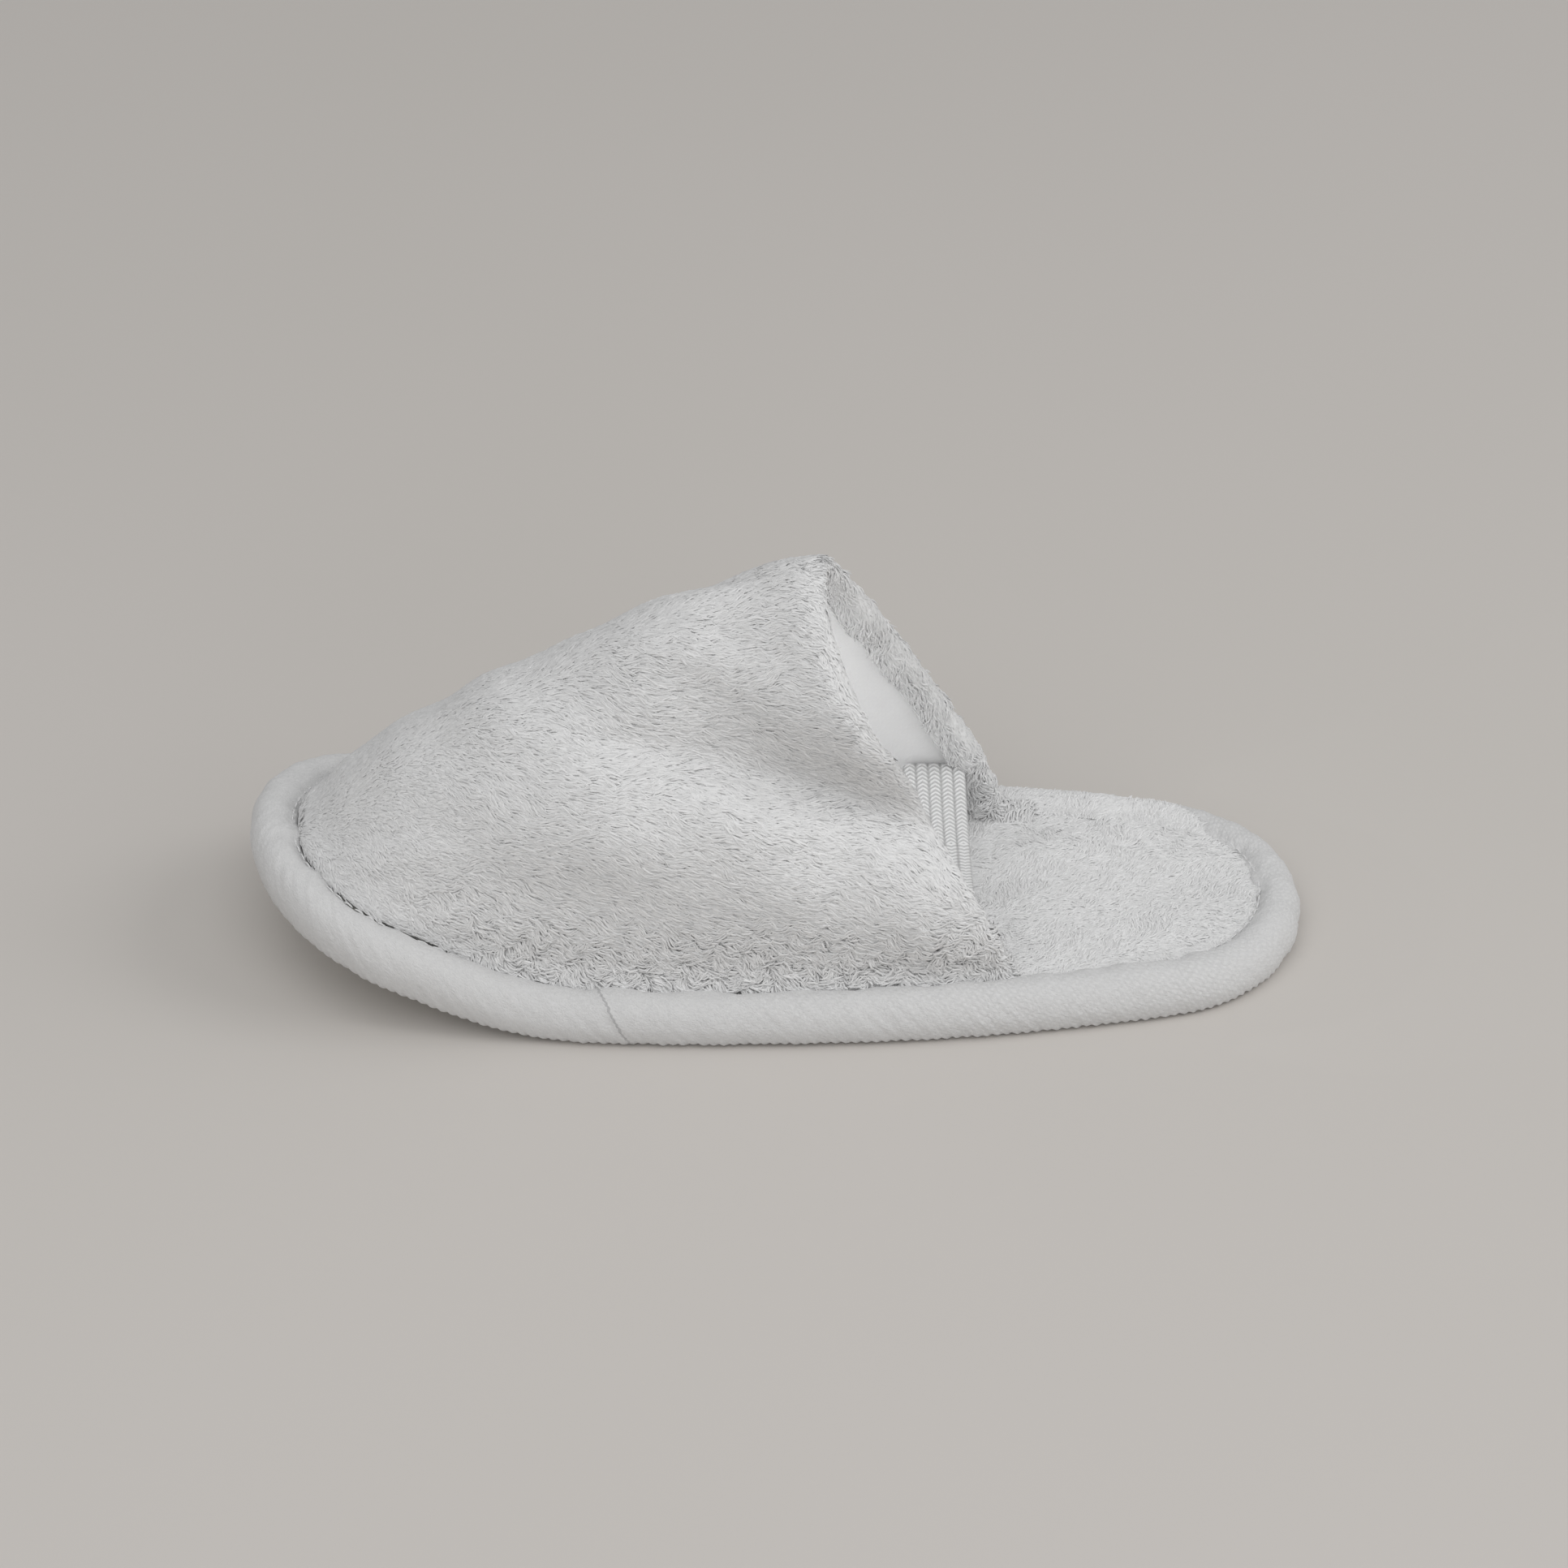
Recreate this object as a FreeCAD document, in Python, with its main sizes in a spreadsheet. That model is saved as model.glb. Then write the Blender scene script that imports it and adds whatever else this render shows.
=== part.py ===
import FreeCAD, Part
import math
import os

import Sketcher

# A plush closed-toe slipper, left as a soft stack of sheets, a padded upper and an elastic strap.
# Frame: millimetres, +X towards the heel, -X towards the toe, +Z up, origin under the middle.

V = FreeCAD.Vector
doc = FreeCAD.newDocument("slipper")

# ---------------------------------------------------------------- sizes
sheet = doc.addObject("Spreadsheet::Sheet", "Sizes")
SIZES = {
    "slipper_length": 210.0,     # toe to heel over the binding
    "toe_radius": 36.0,          # plan radius of the toe end
    "heel_radius": 34.0,         # plan radius of the heel end
    "flank_radius": 396.0,       # plan radius of the two long sides
    "bend_start": 38.0,          # how far before the middle the sole starts to rise
    "bend_radius": 65.0,         # how gently it rises
    "toe_rise": 21.5,            # slope of the toe part, degrees
    "core_inset": 2.5,           # the sheets stop this far inside the outside edge
    "outsole_low": 0.9,
    "outsole_high": 4.4,
    "cushion_high": 6.9,
    "insole_high": 8.6,
    "margin_low": 7.8,           # the upper's turned-in edge lies in the insole's rim
    "margin_inset": 10.6,
    "tape_high": 9.5,            # binding tape from the ground to here
    "tape_wrap": 9.0,            # how far the tape reaches in over the sole
    "tape_round": 3.6,           # rounding of the tape's two outer edges
    "dot_radius": 2.2,           # moulded grip dots under the outsole
    "dot_depth": 0.6,
    "dot_pitch": 9.0,
    "upper_inset": 9.3,          # foot of the upper's outside
    "crown_top": 89.4,           # height of the crown at the collar
    "crown_slope": 0.35,         # how fast it falls towards the toe, and how much faster per mm
    "crown_droop": 0.00195,
    "toe_cap": 20.0,             # length over which the toe rounds up
    "apex_at": 8.0,              # where the crown stops rising
    "collar_foot": 46.7,         # the collar's slanting cut at the sole
    "collar_top": 90.0,
    "rim_width": 3.0,            # plush rim past the ends of foam and lining
    "plush_thick": 1.8,
    "foam_thick": 0.9,
    "lining_thick": 0.8,
    "strap_at": 32.0,
    "strap_width": 12.5,
    "strap_thick": 1.2,
    "strap_half": 24.6,
    "strap_height": 19.0,
    "thread": 0.5,
    "stitch_pitch": 3.2,
    "top_stitch_inset": 8.2,
    "under_stitch_inset": 6.0,
}
for row, (alias, value) in enumerate(SIZES.items(), start=1):
    sheet.set("A%d" % row, alias)
    sheet.set("B%d" % row, str(value))
    sheet.setAlias("B%d" % row, alias)
doc.recompute()


def size(alias):
    return float(getattr(sheet, alias))


# ---------------------------------------------------------------- plan outline of the sole
HALF = size("slipper_length") / 2
TOE_X = -(HALF - size("toe_radius"))
HEEL_X = HALF - size("heel_radius")


def flank_centre():
    """Centre of the long side arc that touches the toe and heel circles from outside them."""
    toe_gap = size("flank_radius") - size("toe_radius")
    heel_gap = size("flank_radius") - size("heel_radius")
    span = HEEL_X - TOE_X
    along = (toe_gap ** 2 - heel_gap ** 2 + span ** 2) / (2 * span)
    return TOE_X + along, math.sqrt(toe_gap ** 2 - along ** 2)


FLANK_X, FLANK_Y = flank_centre()
TOE_TURN = math.atan2(FLANK_Y, TOE_X - FLANK_X)    # direction from a flank centre to its tangent points
HEEL_TURN = math.atan2(FLANK_Y, HEEL_X - FLANK_X)


def outline_arcs(inset):
    """The four arcs of the outline moved in by inset: toe, near side, heel, far side, in one turn."""
    def arc(x, y, radius, start, end):
        return Part.ArcOfCircle(Part.Circle(V(x, y, 0), V(0, 0, 1), radius - inset), start, end)
    return [
        arc(TOE_X, 0, size("toe_radius"), TOE_TURN, 2 * math.pi - TOE_TURN),
        arc(FLANK_X, FLANK_Y, size("flank_radius"), -TOE_TURN, -HEEL_TURN),
        arc(HEEL_X, 0, size("heel_radius"), -HEEL_TURN, HEEL_TURN),
        arc(FLANK_X, -FLANK_Y, size("flank_radius"), HEEL_TURN, TOE_TURN),
    ]


def half_width(x, inset=0.0):
    """Half the plan width at x, for the outline moved in by inset."""
    toe = size("toe_radius") - inset
    heel = size("heel_radius") - inset
    flank = size("flank_radius") - inset
    if x < TOE_X + toe * math.cos(TOE_TURN):
        return math.sqrt(max(toe ** 2 - (x - TOE_X) ** 2, 0.0))
    if x > HEEL_X + heel * math.cos(HEEL_TURN):
        return math.sqrt(max(heel ** 2 - (x - HEEL_X) ** 2, 0.0))
    return math.sqrt(flank ** 2 - (x - FLANK_X) ** 2) - FLANK_Y


RISE = math.radians(size("toe_rise"))


def level(x, offset):
    """Height at x of the surface that lies offset above the curved ground line."""
    radius = size("bend_radius") - offset
    back = -size("bend_start") - x
    if back <= 0:
        return offset
    if back < radius * math.sin(RISE):
        return size("bend_radius") - math.sqrt(radius ** 2 - back ** 2)
    start = size("bend_radius") - radius * math.cos(RISE)
    return start + (back - radius * math.sin(RISE)) * math.tan(RISE)


# ---------------------------------------------------------------- sketch and body helpers
def origin_plane(body, role):
    return [o for o in body.Origin.OriginFeatures if o.Role == role][0]


def new_sketch(body, name, role):
    sketch = body.newObject("Sketcher::SketchObject", name)
    sketch.AttachmentSupport = [(origin_plane(body, role), "")]
    sketch.MapMode = "FlatFace"
    return sketch


def bind(sketch, constraint, formula):
    """Add a constraint and drive it from the spreadsheet."""
    index = sketch.addConstraint(constraint)
    sketch.setExpression("Constraints[%d]" % index, formula)


def draw_outline(sketch, inset_alias):
    """Draw the four-arc outline, inset by a named size, tangent all round."""
    inset = size(inset_alias) if inset_alias else 0.0
    less = " - Sizes.%s" % inset_alias if inset_alias else ""
    toe, near, heel, far = [sketch.addGeometry(arc) for arc in outline_arcs(inset)]
    for first, second in ((toe, near), (near, heel), (heel, far), (far, toe)):
        sketch.addConstraint(Sketcher.Constraint("Tangent", first, 2, second, 1))
    sketch.addConstraint(Sketcher.Constraint("PointOnObject", toe, 3, -1))
    sketch.addConstraint(Sketcher.Constraint("PointOnObject", heel, 3, -1))
    bind(sketch, Sketcher.Constraint("DistanceX", toe, 3, -1, 1, -TOE_X),
         "Sizes.slipper_length / 2 - Sizes.toe_radius")
    bind(sketch, Sketcher.Constraint("DistanceX", -1, 1, heel, 3, HEEL_X),
         "Sizes.slipper_length / 2 - Sizes.heel_radius")
    for arc, alias in ((toe, "toe_radius"), (near, "flank_radius"),
                       (heel, "heel_radius"), (far, "flank_radius")):
        bind(sketch, Sketcher.Constraint("Radius", arc, size(alias) - inset), "Sizes." + alias + less)


REACH = 130.0    # half length of the blanks the sheets are cut from


def draw_side_strip(sketch, low, high):
    """Draw the side profile of a sheet between two heights: flat, a bend, then the toe slope."""
    bend_x = -size("bend_start")
    bend_z = size("bend_radius")
    ids = {}
    for key, offset in (("low", low), ("high", high)):
        radius = bend_z - offset
        turn_x = bend_x - radius * math.sin(RISE)
        turn_z = bend_z - radius * math.cos(RISE)
        ids[key + "_flat"] = sketch.addGeometry(Part.LineSegment(V(REACH, offset), V(bend_x, offset)))
        circle = Part.Circle(V(bend_x, bend_z), V(0, 0, 1), radius)
        ids[key + "_bend"] = sketch.addGeometry(
            Part.ArcOfCircle(circle, 1.5 * math.pi - RISE, 1.5 * math.pi))
        ids[key + "_slope"] = sketch.addGeometry(
            Part.LineSegment(V(turn_x, turn_z), V(-REACH, level(-REACH, offset))))
    low_toe = V(-REACH, level(-REACH, low))
    high_toe = V(-REACH, level(-REACH, high))
    ids["toe_end"] = sketch.addGeometry(Part.LineSegment(low_toe, high_toe))
    ids["heel_end"] = sketch.addGeometry(Part.LineSegment(V(REACH, high), V(REACH, low)))
    for key in ("low", "high"):
        sketch.addConstraint([
            Sketcher.Constraint("Tangent", ids[key + "_flat"], 2, ids[key + "_bend"], 2),
            Sketcher.Constraint("Tangent", ids[key + "_bend"], 1, ids[key + "_slope"], 1),
            Sketcher.Constraint("Horizontal", ids[key + "_flat"]),
        ])
    sketch.addConstraint([
        Sketcher.Constraint("Coincident", ids["low_slope"], 2, ids["toe_end"], 1),
        Sketcher.Constraint("Coincident", ids["high_slope"], 2, ids["toe_end"], 2),
        Sketcher.Constraint("Coincident", ids["high_flat"], 1, ids["heel_end"], 1),
        Sketcher.Constraint("Coincident", ids["low_flat"], 1, ids["heel_end"], 2),
        Sketcher.Constraint("Coincident", ids["low_bend"], 3, ids["high_bend"], 3),
        Sketcher.Constraint("Vertical", ids["toe_end"]),
        Sketcher.Constraint("Vertical", ids["heel_end"]),
        Sketcher.Constraint("Parallel", ids["low_slope"], ids["high_slope"]),
    ])
    sketch.addConstraint(Sketcher.Constraint("DistanceX", -1, 1, ids["heel_end"], 1, REACH))
    sketch.addConstraint(Sketcher.Constraint("DistanceX", ids["toe_end"], 1, -1, 1, REACH))
    bind(sketch, Sketcher.Constraint("DistanceX", ids["low_bend"], 3, -1, 1, -bend_x), "Sizes.bend_start")
    bind(sketch, Sketcher.Constraint("DistanceY", -1, 1, ids["low_bend"], 3, bend_z), "Sizes.bend_radius")
    return ids


def sheet_body(label, low_alias, high_alias, inset_alias):
    """A sheet of even thickness that follows the sole line and is cut to the outline."""
    body = doc.addObject("PartDesign::Body", label)
    body.Label = label
    low = size(low_alias) if low_alias else 0.0
    high = size(high_alias)
    profile = new_sketch(body, label + "_side", "XZ_Plane")
    ids = draw_side_strip(profile, low, high)
    low_formula = "Sizes.bend_radius - " + ("Sizes." + low_alias if low_alias else "0")
    radius = size("bend_radius")
    bind(profile, Sketcher.Constraint("Radius", ids["low_bend"], radius - low), low_formula)
    bind(profile, Sketcher.Constraint("Radius", ids["high_bend"], radius - high),
         "Sizes.bend_radius - Sizes." + high_alias)
    bind(profile, Sketcher.Constraint("Angle", ids["low_slope"], 2, ids["toe_end"], 1,
                                      math.pi / 2 + RISE), "(90 + Sizes.toe_rise) * 1 deg")
    blank = body.newObject("PartDesign::Pad", label + "_blank")
    blank.Profile = profile
    blank.SideType = "Symmetric"
    blank.Length = 120.0
    doc.recompute()
    before = blank.Shape.Volume
    plan = new_sketch(body, label + "_plan", "XY_Plane")
    draw_outline(plan, inset_alias)
    corners = [V(-140, -80), V(140, -80), V(140, 80), V(-140, 80)]
    for start, end in zip(corners, corners[1:] + corners[:1]):
        plan.addGeometry(Part.LineSegment(start, end))
    trim = body.newObject("PartDesign::Pocket", label + "_trim")
    trim.Profile = plan
    trim.SideType = "Symmetric"
    trim.Length = 300.0
    doc.recompute()
    if trim.Shape.Volume > 0.7 * before:
        raise RuntimeError(label + ": the outline cut nothing")
    return body


# ---------------------------------------------------------------- solids used by several pieces
def side_solid(low, high, half=60.0):
    """Everything between two heights over the whole blank, as a solid for cutting with."""
    bend_x = -size("bend_start")
    bend_z = size("bend_radius")

    def line_of(offset):
        radius = bend_z - offset
        mid = RISE / 2
        a = V(REACH, -half, offset)
        b = V(bend_x, -half, offset)
        c = V(bend_x - radius * math.sin(mid), -half, bend_z - radius * math.cos(mid))
        d = V(bend_x - radius * math.sin(RISE), -half, bend_z - radius * math.cos(RISE))
        e = V(-REACH, -half, level(-REACH, offset))
        return [Part.makeLine(a, b), Part.Arc(b, c, d).toShape(), Part.makeLine(d, e)], a, e
    low_edges, low_heel, low_toe = line_of(low)
    high_edges, high_heel, high_toe = line_of(high)
    ends = [Part.makeLine(low_heel, high_heel), Part.makeLine(low_toe, high_toe)]
    wire = Part.Wire(Part.__sortEdges__(low_edges + high_edges + ends))
    return Part.Face(wire).extrude(V(0, 2 * half, 0))


def outline_solid(inset, low=-10.0, high=120.0):
    """A tall solid whose plan is the outline moved in by inset."""
    wire = Part.Wire([arc.toShape() for arc in outline_arcs(inset)])
    solid = Part.Face(wire).extrude(V(0, 0, high - low))
    solid.translate(V(0, 0, low))
    return solid


def feature(label, shape):
    node = doc.addObject("Part::Feature", label)
    node.Label = label
    node.Shape = shape
    node.Placement = FreeCAD.Placement()
    return node


def block(x_low, x_high, y_low, y_high, z_low, z_high):
    return Part.makeBox(x_high - x_low, y_high - y_low, z_high - z_low, V(x_low, y_low, z_low))


# ---------------------------------------------------------------- outsole with moulded grip dots
outsole = sheet_body("outsole_sheet", "outsole_low", "outsole_high", "core_inset")
DOT_COLUMNS = 12
DOT_ROWS = 5
dot_plan = new_sketch(outsole, "dot_plan", "XY_Plane")
first_x = -30.0
first_y = -2.0 * size("dot_pitch")
dot = dot_plan.addGeometry(Part.Circle(V(first_x, first_y, 0), V(0, 0, 1), size("dot_radius")))
bind(dot_plan, Sketcher.Constraint("Radius", dot, size("dot_radius")), "Sizes.dot_radius")
bind(dot_plan, Sketcher.Constraint("DistanceX", dot, 3, -1, 1, -first_x), "30")
bind(dot_plan, Sketcher.Constraint("DistanceY", dot, 3, -1, 1, -first_y), "2 * Sizes.dot_pitch")
dot_pad = outsole.newObject("PartDesign::Pad", "grip_dot")
dot_pad.Profile = dot_plan
dot_plan.AttachmentOffset = FreeCAD.Placement(V(0, 0, size("outsole_low") - size("dot_depth")),
                                              FreeCAD.Rotation())
dot_plan.setExpression("AttachmentOffset.Base.z", "Sizes.outsole_low - Sizes.dot_depth")
dot_pad.Length = size("dot_depth") + 0.1
dot_pad.setExpression("Length", "Sizes.dot_depth + 0.1")
doc.recompute()
dots = outsole.newObject("PartDesign::MultiTransform", "grip_dots")
dots.Originals = [dot_pad]
along = outsole.newObject("PartDesign::LinearPattern", "dots_along")
along.Direction = (dot_plan, ["H_Axis"])
along.Occurrences = DOT_COLUMNS
along.Length = size("dot_pitch") * (DOT_COLUMNS - 1)
across = outsole.newObject("PartDesign::LinearPattern", "dots_across")
across.Direction = (dot_plan, ["V_Axis"])
across.Occurrences = DOT_ROWS
across.Length = size("dot_pitch") * (DOT_ROWS - 1)
dots.Transformations = [along, across]
outsole.Tip = dots
doc.recompute()

cushion = sheet_body("sole_cushion", "outsole_high", "cushion_high", "core_inset")
insole_blank = sheet_body("insole_blank", "cushion_high", "insole_high", "core_inset")

# ---------------------------------------------------------------- binding tape
# A thick folded tape: a rounded puck, less the stack of sheets it wraps, less the open middle.
puck = sheet_body("tape_outside", None, "tape_high", None)
square_puck = puck.Tip
rounding = puck.newObject("PartDesign::Fillet", "tape_rounding")
outside = square_puck.Shape
edge_names = []
for index, edge in enumerate(outside.Edges, start=1):
    middle = edge.valueAt((edge.FirstParameter + edge.LastParameter) / 2)
    ground = level(middle.x, 0.0)
    top = level(middle.x, size("tape_high"))
    if min(abs(middle.z - ground), abs(middle.z - top)) > 0.05:
        continue
    if half_width(middle.x) - abs(middle.y) < 0.05:
        edge_names.append("Edge%d" % index)
rounding.Base = (square_puck, edge_names)
rounding.Radius = size("tape_round")
rounding.setExpression("Radius", "Sizes.tape_round")
puck.Tip = rounding
doc.recompute()
print("rounded edges", len(edge_names), rounding.State, puck.Shape.isValid())

core = sheet_body("tape_inside", "outsole_low", "insole_high", "core_inset")
middle_hole = doc.addObject("Part::Feature", "tape_middle")
middle_hole.Shape = outline_solid(size("tape_wrap"))
hollow = doc.addObject("Part::MultiFuse", "tape_hollow")
hollow.Shapes = [core, middle_hole]
tape = doc.addObject("Part::Cut", "binding_tape")
tape.Label = "binding_tape"
tape.Base = puck
tape.Tool = hollow
doc.recompute()


# ---------------------------------------------------------------- upper: nested arches, lofted
TOE_TIP = -(HALF - size("upper_inset"))
LEG = 6.0    # the arches run on this far below the insole, and are cut off there


def crown(x):
    """Height of the crown above the insole at x."""
    back = max(size("apex_at") - x, 0.0)
    line = size("crown_top") - size("crown_slope") * back - size("crown_droop") * back ** 2
    into_cap = min((x - TOE_TIP) / size("toe_cap"), 1.0)
    cap = math.sqrt(1 - (1 - into_cap) ** 2)
    return (line - level(x, size("insole_high"))) * cap


def arch_wire(x, depth):
    """One cross arch at x, depth millimetres inside the upper's outer surface."""
    step = 0.5
    inset = size("upper_inset")
    slope = (crown(x + step) - crown(max(x - step, TOE_TIP + 0.01))) / (2 * step)
    taper = (half_width(x + step, inset) - half_width(x - step, inset)) / (2 * step)
    height = crown(x) - depth * min(math.hypot(1, slope), 1.8)
    half = half_width(x, inset) - depth * min(math.hypot(1, taper), 1.8)
    share = min((x - TOE_TIP) / (size("apex_at") - TOE_TIP), 1.0)
    power = 2.0 - 0.45 * share
    base = level(x, size("insole_high"))
    count = 16
    points = [V(x, -half, base - LEG)]
    for k in range(count + 1):
        turn = math.pi * k / count
        across = math.copysign(abs(math.cos(turn)) ** (2 / power), -math.cos(turn))
        up = max(math.sin(turn), 0.0) ** (2 / power)
        points.append(V(x, half * across, base + height * up))
    points.append(V(x, half, base - LEG))
    curve = Part.BSplineCurve()
    curve.interpolate(Points=points, Parameters=[float(i) for i in range(len(points))])
    return Part.Wire([curve.toShape(), Part.makeLine(points[-1], points[0])])


def arch_solid(depth):
    """The solid under the upper's surface, taken depth millimetres in."""
    start = TOE_TIP + depth + 0.35
    end = 52.0
    stations = 12
    wires = []
    for k in range(stations):
        share = 1 - math.cos(0.5 * math.pi * k / (stations - 1))
        wires.append(arch_wire(start + (end - start) * share, depth))
    return Part.makeLoft(wires, True, False)


def collar_side(back):
    """Everything on the toe side of the collar's slanting cut, moved back towards the toe."""
    foot = V(size("collar_foot"), 0, size("tape_high"))
    top = V(size("apex_at"), 0, size("collar_top"))
    slant = (top - foot).normalize()
    inward = V(-slant.z, 0, slant.x)
    if inward.x > 0:
        inward = inward * -1
    start = foot + inward * back - slant * 60
    corners = [start, start + slant * 260, start + slant * 260 + inward * 260, start + inward * 260]
    corners = [V(c.x, -70, c.z) for c in corners]
    return Part.Face(Part.makePolygon(corners + corners[:1])).extrude(V(0, 140, 0))


depths = [0.0, size("plush_thick")]
depths.append(depths[-1] + size("foam_thick"))
depths.append(depths[-1] + size("lining_thick"))
skins = [arch_solid(depth) for depth in depths]
above = side_solid(size("insole_high"), 62.0).fuse(block(-REACH, REACH, -60, 60, 40, 130)).removeSplitter()
rim_cut = collar_side(0.0)
layer_cut = collar_side(size("rim_width"))
outer = skins[0].common(above).common(rim_cut)
wool = outer.cut(skins[1].common(layer_cut)).cut(skins[3])
foam = skins[1].common(above).common(layer_cut).cut(skins[2])
lining = skins[2].common(above).common(layer_cut).cut(skins[3])

margin = outline_solid(size("core_inset")).cut(outline_solid(size("margin_inset")))
margin = margin.common(side_solid(size("margin_low"), size("insole_high")))
margin = margin.common(block(-REACH, size("collar_foot"), -60, 60, -5, 60))
STRAP_LOW = size("strap_at") - size("strap_width") / 2
STRAP_HIGH = size("strap_at") + size("strap_width") / 2
notch = block(STRAP_LOW - 0.2, STRAP_HIGH + 0.2, -60, 60, 5, size("insole_high") + 0.001)
margin = margin.cut(notch)
feature("upper_plush", wool)
feature("upper_edge", margin)
feature("upper_foam", foam)
feature("upper_lining", lining)

# the insole is let down a little where the upper's edge and the strap's feet lie on it
rim = outline_solid(size("core_inset")).cut(outline_solid(size("margin_inset")))
rim = rim.common(side_solid(size("margin_low"), size("insole_high") + 1))
rim = rim.common(block(-REACH, size("collar_foot"), -60, 60, -5, 60))
recess = doc.addObject("Part::Feature", "insole_recess")
FOOT_IN = 27.0
foot_bay = block(STRAP_LOW - 0.2, STRAP_HIGH + 0.2, FOOT_IN - 3.0, 60, size("margin_low"), 12)
foot_bay = foot_bay.fuse(foot_bay.mirror(V(0, 0, 0), V(0, 1, 0)))
recess.Shape = rim.fuse(foot_bay)
insole = doc.addObject("Part::Cut", "insole_plush")
insole.Label = "insole_plush"
insole.Base = insole_blank
insole.Tool = recess

# ---------------------------------------------------------------- elastic strap and its sewn ends
strap = doc.addObject("PartDesign::Body", "heel_strap")
strap.Label = "heel_strap"
band = new_sketch(strap, "strap_section", "XZ_Plane")
half_w = size("strap_width") / 2
half_t = size("strap_thick") / 2
edges = []
ring = [V(-half_w, -half_t), V(half_w, -half_t), V(half_w, half_t), V(-half_w, half_t)]
for start, end in zip(ring, ring[1:] + ring[:1]):
    edges.append(band.addGeometry(Part.LineSegment(start, end)))
for first, second in zip(edges, edges[1:] + edges[:1]):
    band.addConstraint(Sketcher.Constraint("Coincident", first, 2, second, 1))
for line in (edges[0], edges[2]):
    band.addConstraint(Sketcher.Constraint("Horizontal", line))
for line in (edges[1], edges[3]):
    band.addConstraint(Sketcher.Constraint("Vertical", line))
band.addConstraint(Sketcher.Constraint("Symmetric", edges[0], 1, edges[1], 2, -1, 1))
bind(band, Sketcher.Constraint("DistanceX", edges[0], 1, edges[0], 2, 2 * half_w), "Sizes.strap_width")
bind(band, Sketcher.Constraint("DistanceY", edges[1], 1, edges[1], 2, 2 * half_t), "Sizes.strap_thick")
run = strap.newObject("PartDesign::Pad", "strap_run")
run.Profile = band
run.SideType = "Symmetric"
run.Length = 2 * size("strap_half")
run.setExpression("Length", "2 * Sizes.strap_half")
strap.Placement = FreeCAD.Placement(V(size("strap_at"), 0, size("strap_height")), FreeCAD.Rotation())
doc.recompute()
soft_edges = strap.newObject("PartDesign::Fillet", "strap_edges")
long_edges = []
for index, edge in enumerate(run.Shape.Edges, start=1):
    if edge.Length > size("strap_half"):
        long_edges.append("Edge%d" % index)
soft_edges.Base = (run, long_edges)
soft_edges.Radius = 0.45
strap.Tip = soft_edges
doc.recompute()

TAB_TOP = size("strap_height") - 1.0
tab_wall = skins[3].common(block(STRAP_LOW, STRAP_HIGH, 0, 60, size("insole_high"), TAB_TOP))
tab_inner = arch_solid(depths[3] + 1.1)
tab = tab_wall.cut(tab_inner)
foot = block(STRAP_LOW, STRAP_HIGH, FOOT_IN - 2.4, 33.5, size("margin_low"), size("insole_high"))
tab_left = foot.fuse(tab).removeSplitter()
for label, shape in (("strap_end_far", tab_left),
                     ("strap_end_near", tab_left.mirror(V(0, 0, 0), V(0, 1, 0)))):
    feature(label, shape)


# ---------------------------------------------------------------- stitches
def stitch(start, end):
    """One short thread with round ends, lying between two points."""
    radius = size("thread") / 2
    direction = end - start
    body = Part.makeCylinder(radius, direction.Length, start, direction)
    body = body.fuse(Part.makeSphere(radius, start))
    return body.fuse(Part.makeSphere(radius, end))


def outline_points(inset, count):
    """Points spaced evenly along the outline, moved in by inset."""
    wire = Part.Wire([arc.toShape() for arc in outline_arcs(inset)])
    return wire.discretize(Number=count + 1)[:-1]


def stitch_row(inset, offset):
    """A row of stitches round the sole at one height above the ground line."""
    wire = Part.Wire([arc.toShape() for arc in outline_arcs(inset)])
    count = round(wire.Length / size("stitch_pitch"))
    points = [V(p.x, p.y, level(p.x, offset)) for p in outline_points(inset, count)]
    row = []
    for start, end in zip(points, points[1:] + points[:1]):
        gap = (end - start) * 0.16
        row.append(stitch(start + gap, end - gap))
    return Part.makeCompound(row)


feature("binding_top_stitches", stitch_row(size("top_stitch_inset"), size("tape_high")))
feature("binding_under_stitches", stitch_row(size("under_stitch_inset"), size("thread") / 2 + 0.05))


def collar_points():
    """Points along the join of rim and lining, on the inside of the collar."""
    foot = V(size("collar_foot"), 0, size("tape_high"))
    top = V(size("apex_at"), 0, size("collar_top"))
    lean = (top.x - foot.x) / (top.z - foot.z)
    back = size("rim_width") / math.cos(math.atan(lean))
    inner = skins[3]
    points = []
    steps = 44
    for k in range(1, steps):
        turn = math.pi * k / steps
        aim = V(0, -40 * math.cos(turn), 95 * math.sin(turn))
        z_mid = size("insole_high") + 0.5
        ray_start = V(foot.x - back + lean * (z_mid - foot.z), 0, z_mid)
        ray_end = ray_start + V(lean * aim.z, aim.y, aim.z)
        hits = Part.makeLine(ray_start, ray_end).common(inner)
        if hits.Edges:
            far_end = max(hits.Vertexes, key=lambda v: (v.Point - ray_start).Length)
            points.append(far_end.Point)
    return points


seam = collar_points()
seam_row = []
for start, end in zip(seam, seam[1:]):
    gap = (end - start) * 0.2
    if start.z > 14.0 and end.z > 14.0:
        seam_row.append(stitch(start + gap, end - gap))
feature("collar_stitches", Part.makeCompound(seam_row))

# ---------------------------------------------------------------- check and write
doc.recompute()
for item in doc.Objects:
    if "Invalid" in item.State or "Error" in item.State:
        raise RuntimeError(item.Name + " failed: " + str(item.State))

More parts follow.
